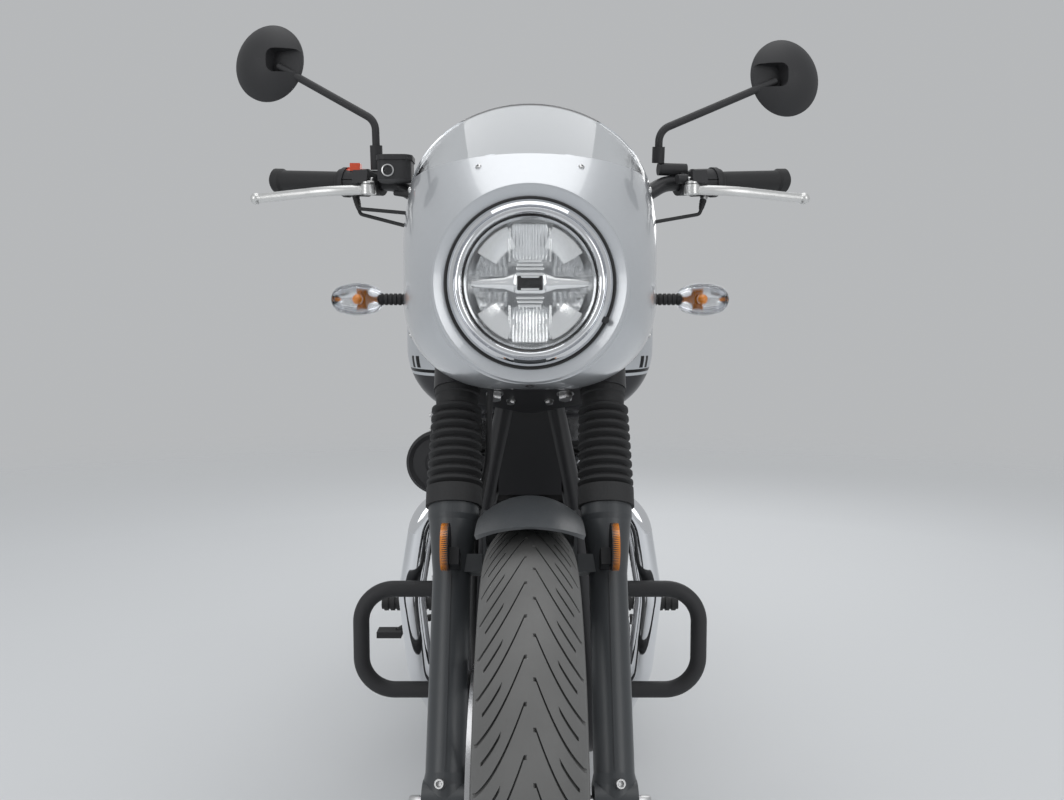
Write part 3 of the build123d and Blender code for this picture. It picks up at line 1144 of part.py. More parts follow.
def foot_controls():
    """Rider's pegs on their hangers, with the brake pedal right and the gear lever left."""
    x, z = PEG
    y0 = PEG_HANGER_Y + 9
    hanger = plate([(x - 56, 226), (x - 10, 204), (x + 18, z - 20), (x + 16, z + 16), (x - 14, z + 16)],
                   PEG_HANGER_Y, y0 + 9)
    inner, outer = PEG_OUT
    left = hanger + disc_y(x, z, 9, y0 + 4, inner + 5) + disc_y(x, z, PEG_R - 3, inner, outer)
    pitch = (outer - inner) / PEG_RIBS
    for k in range(PEG_RIBS):
        left += disc_y(x, z, PEG_R, inner + pitch * k, inner + pitch * (k + 0.6))
    pedal = tube([(x + 10, y0 + 6, z - 12), (x + 60, 222, z - 16), (x + 92, 262, z - 30)], 7, [40])
    pedal += box_between((x + 76, 252, z - 38), (x + 110, 300, z - 26))
    shift = tube([(x + 10, y0 + 6, z - 12), (x + 70, 196, z - 10), (x + 128, 200, z + 6)], 7, [40])
    shift += disc_y(x + 128, z + 6, 10, 192, 244)
    tube_room = cradle(FRAME_TUBE_R + FIT)
    return Compound([*(left + shift - tube_room).solids(), *mirrored(left + pedal - tube_room).solids()])


def horn():
    """Round horn on a strap from the right down tube."""
    x, y, z = HORN
    place = Plane(HORN, z_dir=(1, 0, 0))
    body = revolve(place * Plane.XZ * outline([
        (0, -44), (22, -44), (26, -30), (HORN_R - 4, -18), (HORN_R, -14), (HORN_R, -4), (HORN_R - 4, 0),
        (HORN_R - 10, -4), (20, -2), (16, 4), (0, 6)]), axis=Axis(HORN, (1, 0, 0)))
    strap = box_between((x - 12, y + 30, z - 9), (x - 6, -44, z + 9))
    strap += box_between((x - 12, -56, z - 9), (x + 30, -44, z + 9))
    return (body + strap - mirrored(cradle(FRAME_TUBE_R + FIT))).solids().sort_by(SortBy.VOLUME)[-1]


def rear_caliper():
    """Rear brake caliper above the right arm, slotted for the disc."""
    x, z = REAR_AXLE_X + 92, REAR_AXLE.Z + 62
    body = box_between((x - 34, 6 + FIT - ARM_Y, z - 34), (x + 34, REAR_DISC_Y + 24, z + 34))
    body = fillet(body.edges().filter_by(Axis.Y), 12)
    gap = DISC_THICK / 2 + SWEEP
    return body - disc_y(REAR_AXLE_X, REAR_AXLE.Z, REAR_DISC_R + SWEEP, REAR_DISC_Y - gap, REAR_DISC_Y + gap)


def rear_bolts():
    """The rear axle and the swingarm's pivot bolt."""
    axle = disc_y(REAR_AXLE_X, REAR_AXLE.Z, AXLE_R, -142, 142)
    return Compound([*axle.solids(), *disc_y(*PIVOT, PIVOT_R, -132, 132).solids()])


# Stands

def centre_stand():
    """Two legs on a cross tube, with a flat foot each."""
    x, z = STAND_PIVOT
    sole = FLOOR + 20
    leg = tube([(x, 76, z), (x + 4, 84, 150), (STAND_FOOT_X, STAND_SPREAD, sole)], 14, [50])
    foot = box_between((STAND_FOOT_X - 34, STAND_SPREAD - 26, FLOOR),
                       (STAND_FOOT_X + 24, STAND_SPREAD + 22, sole))
    side = (leg & box_between((x - 200, 0, FLOOR + 2), (x + 200, 300, 400))) + foot + disc_y(x, z, 18, 60, 90)
    whole = side + mirrored(side) + disc_y(x + 2, 190, 11, -84, 84)
    return whole - disc_y(x, z, STAND_PIN_R + RUN, -200, 200)


def side_stand():
    """Prop leg folded back along the left cradle tube."""
    x, y, z = SIDE_PIVOT
    leg = rod(SIDE_PIVOT, (x - SIDE_LENGTH, y, z), 9)
    foot = box_between((x - SIDE_LENGTH - 24, y - 13, z - 6), (x - SIDE_LENGTH + 20, y + 13, z + 6))
    boss = rod(SIDE_PIVOT + SIDE_AXIS * SIDE_BOSS_HALF, SIDE_PIVOT - SIDE_AXIS * SIDE_BOSS_HALF, SIDE_BOSS_R)
    return leg + foot + boss - rod(SIDE_PIVOT + SIDE_AXIS * 30, SIDE_PIVOT - SIDE_AXIS * 30, SIDE_PIN_R + RUN)


def build():
    nodes = {"frame": frame(), "swingarm": swingarm(), "rear_shocks": pair(shock()), "drive_chain": chain(),
             "chain_guard": chain_guard(), "rear_fender": rear_fender(), "plate_holder": plate_holder(),
             "tail_light": tail_light(), "fuel_tank": fuel_tank(), "fuel_cap": fuel_cap(), "seat": seat(),
             "side_panels": pair(side_panel()), "engine_guards": pair(engine_guard()), "horn": horn(),
             "foot_controls": foot_controls(), "header_pipes": pair(header()), "mufflers": pair(muffler()),
             "intake": intake(), "rear_bolts": rear_bolts(), "rear_caliper": rear_caliper(),
             "rear_turn_signals": pair(rear_signal())}
    nodes |= engine() | front_wheel() | rear_wheel()
    nodes["triple_clamp"] = triple_clamp()
    nodes["fork_tubes"] = pair(extrude(LEG * Pos(0, 0, 302) * Circle(TUBE_R), amount=FORK_CAP_TOP - 302))
    nodes["fork_sliders"] = fork_sliders()
    nodes["fork_gaiters"] = pair(fork_gaiter())
    nodes["front_axle"] = disc_y(FRONT_AXLE_X, FRONT_AXLE_Z, AXLE_R, -FRONT_AXLE_HALF, FRONT_AXLE_HALF,
                                 FRONT_AXLE_BORE_R)
    nodes["front_fender"] = front_fender()
    nodes["front_caliper"] = front_caliper()
    nodes["front_reflectors"] = pair(front_reflector())
    nodes["handlebar"] = handlebar()
    nodes["grips"] = pair(grip())
    nodes["hand_controls"] = hand_controls()
    nodes["levers"] = pair(lever())
    nodes["mirrors"] = mirrors()
    nodes["cowl"], nodes["windscreen"] = cowl_and_screen()
    shell, nodes["headlamp_rim"], nodes["headlamp_glass"], nodes["headlamp_reflector"] = headlamp()
    nodes["headlamp_shell"] = shell + lamp_bracket() + mirrored(lamp_bracket())
    clamp_room = extrude(LEG * Pos(0, 0, 500) * Circle(TUBE_R + 7 + FIT), amount=240)
    nodes["front_turn_signals"] = pair(signal(FRONT_AXLE_X + SIGNAL[0], SIGNAL[1], SIGNAL[2], 112) - clamp_room)
    nodes["instruments"] = instruments()
    nodes["control_cables"] = control_cables()
    nodes["centre_stand"] = centre_stand()
    nodes["side_stand"] = side_stand()
    return nodes


os.makedirs("parts", exist_ok=True)
for name, shape in build().items():
    export_step(Pos(0, 0, -FLOOR) * shape, f"parts/{name}.step")
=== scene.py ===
"""Cafe racer motorcycle dressed around its CAD frame: paint, chrome, tread, lamp optics, seat, bolts."""
import math

import bmesh
import bpy
from mathutils import Matrix, Vector
from mathutils.bvhtree import BVHTree


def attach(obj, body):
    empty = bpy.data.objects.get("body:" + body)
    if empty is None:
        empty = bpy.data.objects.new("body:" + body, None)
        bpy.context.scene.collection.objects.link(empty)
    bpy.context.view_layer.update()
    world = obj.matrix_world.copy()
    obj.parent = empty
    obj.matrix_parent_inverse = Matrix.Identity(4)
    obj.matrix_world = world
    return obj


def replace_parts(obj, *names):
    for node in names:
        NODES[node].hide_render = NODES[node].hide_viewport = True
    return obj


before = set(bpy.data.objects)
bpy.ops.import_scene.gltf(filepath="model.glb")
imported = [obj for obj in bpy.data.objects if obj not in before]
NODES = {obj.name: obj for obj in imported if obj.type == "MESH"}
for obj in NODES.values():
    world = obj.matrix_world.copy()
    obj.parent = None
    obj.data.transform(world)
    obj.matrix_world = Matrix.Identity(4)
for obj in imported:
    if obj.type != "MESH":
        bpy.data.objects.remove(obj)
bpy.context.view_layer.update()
MM = 0.001                    # all lengths below are in millimetres

# Places that the source also has
FRONT_AXLE = Vector((748.0, 0.0, 319.0))
REAR_AXLE = Vector((-717.0, 0.0, 349.0))
FRONT_TYRE = (319.0, 104.0)
REAR_TYRE = (333.0, 130.0)
BEAD_R, RIM_FLANGE, BEAD_SHARE = 232.0, 9.0, 0.62
RAKE = math.radians(26.0)
FORK_HALF = 96.0
LAMP = Vector((678.0, 0.0, 908.0))
LAMP_GLASS_R = 80.0
CHAIN_Y = 84.0
GEARBOX = Vector((-68.0, CHAIN_Y, 348.0))
FRONT_SPROCKET_R, REAR_SPROCKET_R = 42.0, 92.0
BAR_BEND = {s: Vector((375.4, 195.0 * s, 1064.3)) for s in (1, -1)}
BAR_END = {s: Vector((305.0, 384.0 * s, 1079.0)) for s in (1, -1)}

# Camera, as solved from the photograph
CAMERA_AHEAD = 1045.0         # ahead of the front axle
CAMERA_HEIGHT = 860.0
CAMERA_PITCH = math.radians(4.5)
FOCAL_PX, IMAGE_W, CENTRE_PX = 960.0, 1064.0, 530.0
SENSOR = 36.0

# Starts, outside the machine, of the lines that find a piece's seat
AHEAD, ASIDE, ABOVE = 1400.0, 400.0, 1200.0


# Materials

NOISE_DETAIL = 4.0
BROADER = 9.0                 # how many times larger the tone's patches are than the gloss's
BUMP_DEPTH = 0.0006           # metres


def link(tree, source, target):
    """Joins two sockets of a node tree."""
    tree.links.new(source, target)


def set_sockets(node, values):
    """Sets some of a node's inputs; their names have underscores for spaces."""
    for socket, value in values.items():
        node.inputs[socket.replace("_", " ")].default_value = value


def add(tree, kind, **values):
    """A new node with some of its inputs set."""
    node = tree.nodes.new(kind)
    set_sockets(node, values)
    return node


def math_node(tree, operation, *values):
    """A maths node fed by sockets or plain numbers; gives its output."""
    node = tree.nodes.new("ShaderNodeMath")
    node.operation = operation
    for socket, value in zip(node.inputs, values):
        if isinstance(value, float):
            socket.default_value = value
        else:
            link(tree, value, socket)
    return node.outputs[0]


def layer(tree, below, color, mask):
    """A colour laid over a plain colour or a socket's, where the mask is one."""
    mix = tree.nodes.new("ShaderNodeMix")
    mix.data_type = "RGBA"
    mix.inputs["B"].default_value = (*color, 1.0)
    link(tree, mask, mix.inputs["Factor"])
    if isinstance(below, list):
        mix.inputs["A"].default_value = (*below, 1.0)
    else:
        link(tree, below, mix.inputs["A"])
    return mix.outputs["Result"]


def finish(name, color, rough, metallic=0.0, scale=60.0, spread=0.06, tone=0.06, bump=0.0, **sockets):
    """A finish whose gloss and tone vary finely; further sockets are named with underscores."""
    mat = bpy.data.materials.new(name)
    mat.use_nodes = True
    tree = mat.node_tree
    shader = tree.nodes["Principled BSDF"]
    set_sockets(shader, {"Metallic": metallic, **sockets})
    coords = add(tree, "ShaderNodeTexCoord")
    fine = add(tree, "ShaderNodeTexNoise", Scale=scale, Detail=NOISE_DETAIL)
    broad = add(tree, "ShaderNodeTexNoise", Scale=scale / BROADER)
    for noise in (fine, broad):
        link(tree, coords.outputs["Object"], noise.inputs["Vector"])
    gloss = add(tree, "ShaderNodeMapRange", To_Min=max(rough - spread, 0.0), To_Max=rough + spread)
    link(tree, fine.outputs["Fac"], gloss.inputs["Value"])
    link(tree, gloss.outputs["Result"], shader.inputs["Roughness"])
    dark, pale = [c * (1 - tone) for c in color], [min(c * (1 + tone), 1.0) for c in color]
    link(tree, layer(tree, dark, pale, broad.outputs["Fac"]), shader.inputs["Base Color"])
    if bump:
        height = add(tree, "ShaderNodeBump", Strength=bump, Distance=BUMP_DEPTH)
        link(tree, fine.outputs["Fac"], height.inputs["Height"])
        link(tree, height.outputs["Normal"], shader.inputs["Normal"])
    return mat


COAT = {"Coat_Weight": 1.0, "Coat_Roughness": 0.04}
SILVER_TONE = (0.60, 0.62, 0.645)
GRAPHITE_TONE = (0.050, 0.050, 0.054)
SILVER = finish("silver_paint", SILVER_TONE, 0.34, 0.6, scale=900, spread=0.05, tone=0.02, **COAT)
GRAPHITE = finish("graphite_paint", GRAPHITE_TONE, 0.32, 0.4, scale=900, tone=0.1, **COAT)
BLACK_GLOSS = finish("black_gloss", (0.014, 0.014, 0.015), 0.18, scale=40, spread=0.05, Coat_Weight=0.5)
BLACK_SATIN = finish("black_satin", (0.020, 0.020, 0.022), 0.40, scale=300, bump=0.04)
FORK_BLACK = finish("fork_black", (0.048, 0.052, 0.056), 0.36, scale=300, bump=0.03)
BLACK_MATT = finish("black_matt", (0.026, 0.026, 0.028), 0.58, scale=500, bump=0.10)
CHROME = finish("chrome", (0.80, 0.81, 0.83), 0.05, 1.0, scale=30, spread=0.03, tone=0.02)
OPTIC = finish("lamp_reflector", (0.94, 0.95, 0.96), 0.10, 0.75, scale=40, spread=0.05, tone=0.03)
STEEL = finish("machined_steel", (0.58, 0.58, 0.59), 0.26, 1.0, scale=200)
ZINC = finish("zinc_fasteners", (0.62, 0.62, 0.62), 0.30, 1.0, scale=260)
CAST = finish("cast_aluminium", (0.36, 0.36, 0.37), 0.46, 1.0, scale=420, bump=0.20)
BRIGHT_CAST = finish("bright_cast", (0.74, 0.74, 0.73), 0.34, 0.85, scale=320, bump=0.08)
POLISHED = finish("polished_aluminium", (0.66, 0.66, 0.67), 0.16, 1.0, scale=120, spread=0.05)
ENGINE_BLACK = finish("engine_black", (0.020, 0.020, 0.021), 0.46, scale=420, bump=0.15)
RUBBER = finish("rubber", (0.022, 0.022, 0.023), 0.66, scale=500, spread=0.1, bump=0.12)
TYRE = finish("tyre_rubber", (0.130, 0.129, 0.126), 0.66, scale=160, spread=0.12, tone=0.18, bump=0.10)
AMBER = finish("amber_lens", (0.78, 0.24, 0.01), 0.16, scale=90, Coat_Weight=1.0)
RED = finish("red_lens", (0.42, 0.01, 0.01), 0.14, scale=90, Coat_Weight=1.0)
KILL_RED = finish("switch_red", (0.70, 0.085, 0.03), 0.38, scale=200)
WHITE = finish("dial_white", (0.80, 0.80, 0.78), 0.5, scale=120)
LEATHER = finish("seat_cover", (0.022, 0.022, 0.023), 0.52, scale=650, spread=0.1, bump=0.45)
MIRROR = finish("mirror_glass", (0.86, 0.88, 0.89), 0.03, 1.0, scale=20, spread=0.01, tone=0.01)
WIPED = {"scale": 14, "spread": 0.02, "tone": 0.01, "Transmission_Weight": 1.0}
GLASS = finish("clear_glass", (0.98, 0.99, 0.99), 0.02, IOR=1.2, Alpha=0.3, **WIPED)
SCREEN = finish("screen_acrylic", (0.93, 0.95, 0.97), 0.02, IOR=1.3, **WIPED)

STRIPE_SLOPE = 0.06           # the lines on the tank fall this much a millimetre, going forward
STRIPE, STRIPE_HALF = 809.0, 2.5
GRAPHITE_BELOW = 802.0
BARS_X, BAR_HALF_X = (322.0, 311.5), 3.2
BARS_Z, BAR_HALF_Z = 803.0, 9.0
PINSTRIPE_TONE = (0.012, 0.012, 0.013)


def tank_paint():
    """Silver over graphite, parted by a black pinstripe, with two short bars at the front of each side."""
    mat = finish("two_tone_tank", SILVER_TONE, 0.34, 0.6, scale=900, spread=0.05, tone=0.02,
                 Coat_Weight=0.2, Coat_Roughness=0.1, Specular_IOR_Level=0.25)
    tree = mat.node_tree
    paint = tree.nodes["Principled BSDF"].inputs["Base Color"]
    coords, parts = add(tree, "ShaderNodeTexCoord"), add(tree, "ShaderNodeSeparateXYZ")
    link(tree, coords.outputs["Object"], parts.inputs["Vector"])
    x, z = parts.outputs["X"], parts.outputs["Z"]
    line = math_node(tree, "MULTIPLY_ADD", x, STRIPE_SLOPE, z)
    stripe = math_node(tree, "COMPARE", line, STRIPE * MM, STRIPE_HALF * MM)
    first, second = (math_node(tree, "COMPARE", x, at * MM, BAR_HALF_X * MM) for at in BARS_X)
    tall = math_node(tree, "COMPARE", z, BARS_Z * MM, BAR_HALF_Z * MM)
    bars = math_node(tree, "MULTIPLY", math_node(tree, "MAXIMUM", first, second), tall)
    color = layer(tree, paint.links[0].from_socket, PINSTRIPE_TONE, math_node(tree, "MAXIMUM", stripe, bars))
    color = layer(tree, color, GRAPHITE_TONE, math_node(tree, "LESS_THAN", line, GRAPHITE_BELOW * MM))
    link(tree, color, paint)
    return mat


TANK = tank_paint()

NODE_MATERIALS = [
    (SILVER, ["cowl"]),
    (TANK, ["fuel_tank"]),
    (GRAPHITE, ["side_panels"]),
    (BLACK_SATIN, ["frame", "swingarm", "triple_clamp", "centre_stand", "side_stand", "rear_fender",
                   "front_caliper", "rear_caliper", "headlamp_shell", "handlebar", "plate_holder",
                   "chain_guard"]),
    (FORK_BLACK, ["fork_sliders", "front_fender"]),
    (BLACK_MATT, ["engine_guards", "hand_controls", "horn", "intake", "instruments", "mirrors"]),
    (CHROME, ["header_pipes", "mufflers", "headlamp_rim", "fuel_cap", "rear_shocks", "headlamp_reflector"]),
    (STEEL, ["front_brake_disc", "rear_brake_disc", "front_axle", "rear_bolts", "rear_sprocket",
             "drive_chain", "fork_tubes"]),
    (CAST, ["crankcase"]),
    (BRIGHT_CAST, ["levers"]),
    (ENGINE_BLACK, ["cylinder_block", "cylinder_head"]),
    (POLISHED, ["engine_side_covers", "cam_cover", "cam_drive_tower"]),
    (BLACK_GLOSS, ["front_wheel", "rear_wheel"]),
    (TYRE, ["front_tyre", "rear_tyre"]),
    (RUBBER, ["fork_gaiters", "grips", "foot_controls", "control_cables"]),
    (SCREEN, ["windscreen"]),
    (GLASS, ["headlamp_glass", "front_turn_signals", "rear_turn_signals"]),
    (BLACK_SATIN, ["front_reflectors", "tail_light"]),
    (LEATHER, ["seat"]),
]


def paint_nodes():
    """Gives each CAD node its finish."""
    for mat, names in NODE_MATERIALS:
        for name in names:
            mesh = NODES[name].data
            mesh.materials.clear()
            mesh.materials.append(mat)


def repaint(node, mat, chosen):
    """Gives some faces of a node another finish, chosen by their middles in millimetres and their normals."""
    mesh = NODES[node].data
    mesh.materials.append(mat)
    index = len(mesh.materials) - 1
    for face in mesh.polygons:
        if chosen(face.center / MM, face.normal):
            face.material_index = index


LENS_FACE_Y, LENS_EDGE_Y = 103.5, 100.5      # front reflectors
TAIL_LENS_X = -1000.0                        # the tail light's lens lies behind it
FIN_EDGE_Y = 118.0
SPOKES = (44.0, 205.0)                       # radii between hub and rim
SWITCH_ALONG, SWITCH_OFF = 65.6, Vector((4, 0, 21))
SWITCH_REACH, SWITCH_ABOVE = 13.0, 1083.0


def paint_faces():
    """Second finishes on one solid: lenses, machined fin edges, steel spokes and the red stop switch."""
    repaint("front_reflectors", AMBER, lambda c, n: abs(n.y) > 0.9 and abs(c.y) > LENS_FACE_Y or
            abs(c.y) > LENS_EDGE_Y and abs(n.y) < 0.3)
    repaint("tail_light", RED, lambda c, n: c.x < TAIL_LENS_X and n.x < 0.5)
    for node in ("cylinder_block", "cylinder_head"):
        repaint(node, STEEL, lambda c, n: abs(n.z) < 0.3 and abs(c.y) > FIN_EDGE_Y)
    inner, outer = SPOKES
    for node, axle in (("front_wheel", FRONT_AXLE), ("rear_wheel", REAR_AXLE)):
        repaint(node, STEEL, lambda c, n: inner < math.hypot(c.x - axle.x, c.z - axle.z) < outer)
    stop = bar_point(-1, SWITCH_ALONG) + SWITCH_OFF
    repaint("hand_controls", KILL_RED, lambda c, n: (c - stop).length < SWITCH_REACH and c.z > SWITCH_ABOVE)


def bar_point(side, along):
    """A point on the handlebar's outer straight, along it from the bend."""
    return BAR_BEND[side] + (BAR_END[side] - BAR_BEND[side]).normalized() * along


# Mesh building

FIGURE_RAISE = 0.15           # printed figures stand this proud


class Shape:
    """A mesh made up from lathed, swept and boxed parts, in millimetres, each part with its own finish."""

    def __init__(self):
        self.bm = bmesh.new()
        self.finishes = []

    def index(self, mat):
        """The place of a finish in the mesh's list, added where it is new."""
        if mat not in self.finishes:
            self.finishes.append(mat)
        return self.finishes.index(mat)

    def grid(self, rows, mat, wrap_rows=False, wrap_cols=False, caps=False):
        """A sheet of quads through rows of points."""
        k = self.index(mat)
        verts = [[self.bm.verts.new(p) for p in row] for row in rows]
        n, m = len(verts), len(verts[0])
        for i in range(n if wrap_rows else n - 1):
            for j in range(m if wrap_cols else m - 1):
                a, b = verts[i], verts[(i + 1) % n]
                face = self.bm.faces.new((a[j], b[j], b[(j + 1) % m], a[(j + 1) % m]))
                face.material_index = k
        if caps:
            for row in (verts[0], verts[-1]):
                self.bm.faces.new(row).material_index = k
        return verts

    def lathe(self, profile, place, mat, steps=32):
        """Radius by height, turned about the place's own z axis; a radius of zero closes an end."""
        k = self.index(mat)
        rings = []
        for r, h in profile:
            if r < 1e-6:
                rings.append([self.bm.verts.new(place @ Vector((0, 0, h)))])
                continue
            rings.append([self.bm.verts.new(place @ Vector((r * math.cos(a), r * math.sin(a), h)))
                          for a in turns(steps)])
        for low, high in zip(rings, rings[1:]):
            for i in range(steps):
                j = (i + 1) % steps
                corners = [low[i % len(low)], low[j % len(low)], high[j % len(high)], high[i % len(high)]]
                face = self.bm.faces.new(list(dict.fromkeys(corners)))
                face.material_index = k

    def box(self, place, size, mat, bevel=0.0):
        """A block about the place's origin, with rounded edges."""
        k = self.index(mat)
        made = bmesh.ops.create_cube(self.bm, size=1.0, matrix=place @ Matrix.Diagonal((*size, 1.0)))["verts"]
        faces = {f for v in made for f in v.link_faces}
        for face in faces:
            face.material_index = k
        if bevel:
            edges = list({e for v in made for e in v.link_edges})
            bmesh.ops.bevel(self.bm, geom=edges, offset=bevel, segments=2, profile=0.5, affect="EDGES",
                            material=-1)

    def tube(self, points, radius, mat, steps=10, between=6):
        """A round bar on a smooth line through the points."""
        line = smooth_line(points, between)
        normal = (line[1] - line[0]).orthogonal()
        rows = []
        for behind, p, ahead in zip([line[0], *line], line, [*line[1:], line[-1]]):
            along = (ahead - behind).normalized()
            normal = (normal - along * normal.dot(along)).normalized()
            side = along.cross(normal)
            rows.append([p + (normal * math.cos(a) + side * math.sin(a)) * radius for a in turns(steps)])
        self.grid(rows, mat, wrap_cols=True, caps=True)

    def digits(self, text, place, size, mat):
        """Printed figures, thinly raised on the place's own plane."""
        k = self.index(mat)
        curve = bpy.data.curves.new("digits", "FONT")
        curve.body, curve.size, curve.extrude = text, size, FIGURE_RAISE
        curve.align_x, curve.align_y = "CENTER", "CENTER"
        text_obj = bpy.data.objects.new("digits", curve)
        mesh = text_obj.to_mesh()
        verts = [self.bm.verts.new(place @ v.co) for v in mesh.vertices]
        for face in mesh.polygons:
            self.bm.faces.new([verts[i] for i in face.vertices]).material_index = k
        text_obj.to_mesh_clear()
        bpy.data.objects.remove(text_obj)
        bpy.data.curves.remove(curve)

    def build(self, name, body, sharp=38.0):
        """Makes the piece, in metres, smooth but for its sharp edges, and lets it ride a body."""
        bmesh.ops.recalc_face_normals(self.bm, faces=self.bm.faces)
        mesh = bpy.data.meshes.new(name)
        self.bm.to_mesh(mesh)
        self.bm.free()
        mesh.transform(Matrix.Scale(MM, 4))
        for mat in self.finishes:
            mesh.materials.append(mat)
        for face in mesh.polygons:
            face.use_smooth = True
        mesh.set_sharp_from_angle(angle=math.radians(sharp))
        obj = bpy.data.objects.new(name, mesh)
        bpy.context.scene.collection.objects.link(obj)
        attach(obj, body)
        return obj


def turns(steps):
    """Angles of even steps round a circle."""
    return [2 * math.pi * i / steps for i in range(steps)]


def smooth_line(points, between):
    """Points on a Catmull-Rom line."""
    line = []
    for p0, p1, p2, p3 in zip([points[0], *points], points, points[1:], [*points[2:], points[-1]]):
        for t in (k / between for k in range(between)):
            line.append(0.5 * (2 * p1 + (p2 - p0) * t + (2 * p0 - 5 * p1 + 4 * p2 - p3) * t ** 2
                               + (3 * p1 - p0 - 3 * p2 + p3) * t ** 3))
    return [*line, points[-1]]


def place_at(origin, z_axis, x_hint=(0, 0, 1)):
    """A frame at a point, with its z along an axis and its x near a hint."""
    z = Vector(z_axis).normalized()
    x = Vector(x_hint)
    x = x - z * x.dot(z)
    if x.length < 1e-4:
        x = z.orthogonal()
    x.normalize()
    y = z.cross(x)
    return Matrix.Translation(Vector(origin)) @ Matrix((x, y, z)).transposed().to_4x4()


def skin_of(mesh):
    """A mesh's faces, in millimetres, for finding where a line meets them."""
    return BVHTree.FromPolygons([v.co / MM for v in mesh.vertices], [p.vertices[:] for p in mesh.polygons])


SKINS = {}                    # found once for each node


def seat_on(node, start, toward):
    """Where a line from start meets a node's skin, with the skin's normal there, in millimetres."""
    if node not in SKINS:
        SKINS[node] = skin_of(NODES[node].data)
    way = Vector(toward).normalized()
    spot, normal = SKINS[node].ray_cast(Vector(start), way)[:2]
    if spot is None:
        raise ValueError(f"nothing of {node} lies on that line from {start}")
    return spot, -normal if normal.dot(way) > 0 else normal


def fork_point(x, y, s):
    """A point in the fork's own frame: forward, left, up the leg."""
    ahead = x * math.cos(RAKE) - s * math.sin(RAKE)
    above = x * math.sin(RAKE) + s * math.cos(RAKE)
    return FRONT_AXLE + Vector((ahead, y, above))


# Tyres

def arc_through(a, b, c, count):
    """Points on the circle through three points, from the first to the last."""
    (ax, ay), (bx, by), (cx, cy) = a, b, c
    aa, bb, cc = ax ** 2 + ay ** 2, bx ** 2 + by ** 2, cx ** 2 + cy ** 2
    d = 2 * (ax * (by - cy) + bx * (cy - ay) + cx * (ay - by))
    ux = (aa * (by - cy) + bb * (cy - ay) + cc * (ay - by)) / d
    uy = (aa * (cx - bx) + bb * (ax - cx) + cc * (bx - ax)) / d
    r = math.hypot(ax - ux, ay - uy)
    t0, t1 = math.atan2(ay - uy, ax - ux), math.atan2(cy - uy, cx - ux)
    turn = (t1 - t0 + math.pi) % (2 * math.pi) - math.pi
    return [(ux + r * math.cos(t0 + turn * i / count), uy + r * math.sin(t0 + turn * i / count))
            for i in range(count + 1)]


# The section's drops and reaches are shares of the half width, as in the source
CROWN_DROP, CROWN_REACH = 0.118, 0.46
SHOULDER_DROP, SHOULDER_REACH = 0.55, 0.9
WIDEST_DROP, RIB_DROP = 0.9, 0.86
CROWN_STEPS, WALL_STEPS, RIB_STEPS = 22, 10, 120
WALL_RIB = [(1.6, -1.2), (1.2, 0.5), (-1.2, 0.5), (-1.6, -1.2)]
BEAD_RIB_UP, BEAD_RIB_OUT = 16.0, 4.5
GROOVE_DEPTH = 4.5
GROOVE_EDGES = [(-2.1, 0.0), (-1.3, 1.0), (1.3, 1.0), (2.1, 0.0)]      # offset round the tyre, share of depth
LAND_COLUMNS = [0.36, 0.64]                                # plain columns between two grooves
LONG_GROOVE, SHORT_GROOVE = (0.10, 0.94), (0.50, 0.80)     # reach across, as shares of the half width
GROOVE_SWEEP, SWEEP_EASE = 1.65, 0.6                       # pitches that a long groove runs round, slowing


def treaded_tyre(name, node, body, axle, size, pitches):
    """Tyre with long curved grooves and short slashes, half a pitch apart on its two sides."""
    radius, width = size
    half = width / 2
    shoulder = (radius - SHOULDER_DROP * half, SHOULDER_REACH * half)
    lip, bead = BEAD_R + RIM_FLANGE + 1, BEAD_SHARE * half - 0.2
    on_crown = (radius - CROWN_DROP * half, CROWN_REACH * half)
    crown = arc_through((radius, 0.0), on_crown, shoulder, CROWN_STEPS)
    wall = arc_through(shoulder, (radius - WIDEST_DROP * half, half), (lip, bead), WALL_STEPS)[1:]
    side = crown + wall
    section = [(r, y) for r, y in reversed(side)] + [(r, -y) for r, y in side[1:]]
    pitch = 2 * math.pi / pitches
    columns = []
    for k in range(2 * pitches):
        base = k * pitch / 2
        columns += [(base + offset / radius, depth, k % 2) for offset, depth in GROOVE_EDGES]
        columns += [(base + share * pitch / 2, 0.0, k % 2) for share in LAND_COLUMNS]
    rows = []
    for angle, depth, odd in columns:
        row = []
        for r, y in section:
            u = abs(y) / half
            t = min(max((u - LONG_GROOVE[0]) / (SHOULDER_REACH - LONG_GROOVE[0]), 0.0), 1.0)
            a = angle - GROOVE_SWEEP * pitch * ((1 + SWEEP_EASE) * t - SWEEP_EASE * t * t)
            low, high = LONG_GROOVE if odd == (y > 0) else SHORT_GROOVE
            cut = depth * GROOVE_DEPTH if low < u < high and r > shoulder[0] - 3 else 0.0
            row.append(axle + Vector(((r - cut) * math.sin(-a), y, (r - cut) * math.cos(-a))))
        rows.append(row)
    shape = Shape()
    shape.grid(rows, TYRE, wrap_rows=True)
    for sign in (1, -1):
        ring = place_at(axle, (0, sign, 0))
        for r, y in ((radius - RIB_DROP * half, half), (BEAD_R + BEAD_RIB_UP, bead + BEAD_RIB_OUT)):
            shape.lathe([(r + out, y + up) for out, up in WALL_RIB], ring, TYRE, RIB_STEPS)
    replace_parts(shape.build(name, body, 50), node)


# Headlamp

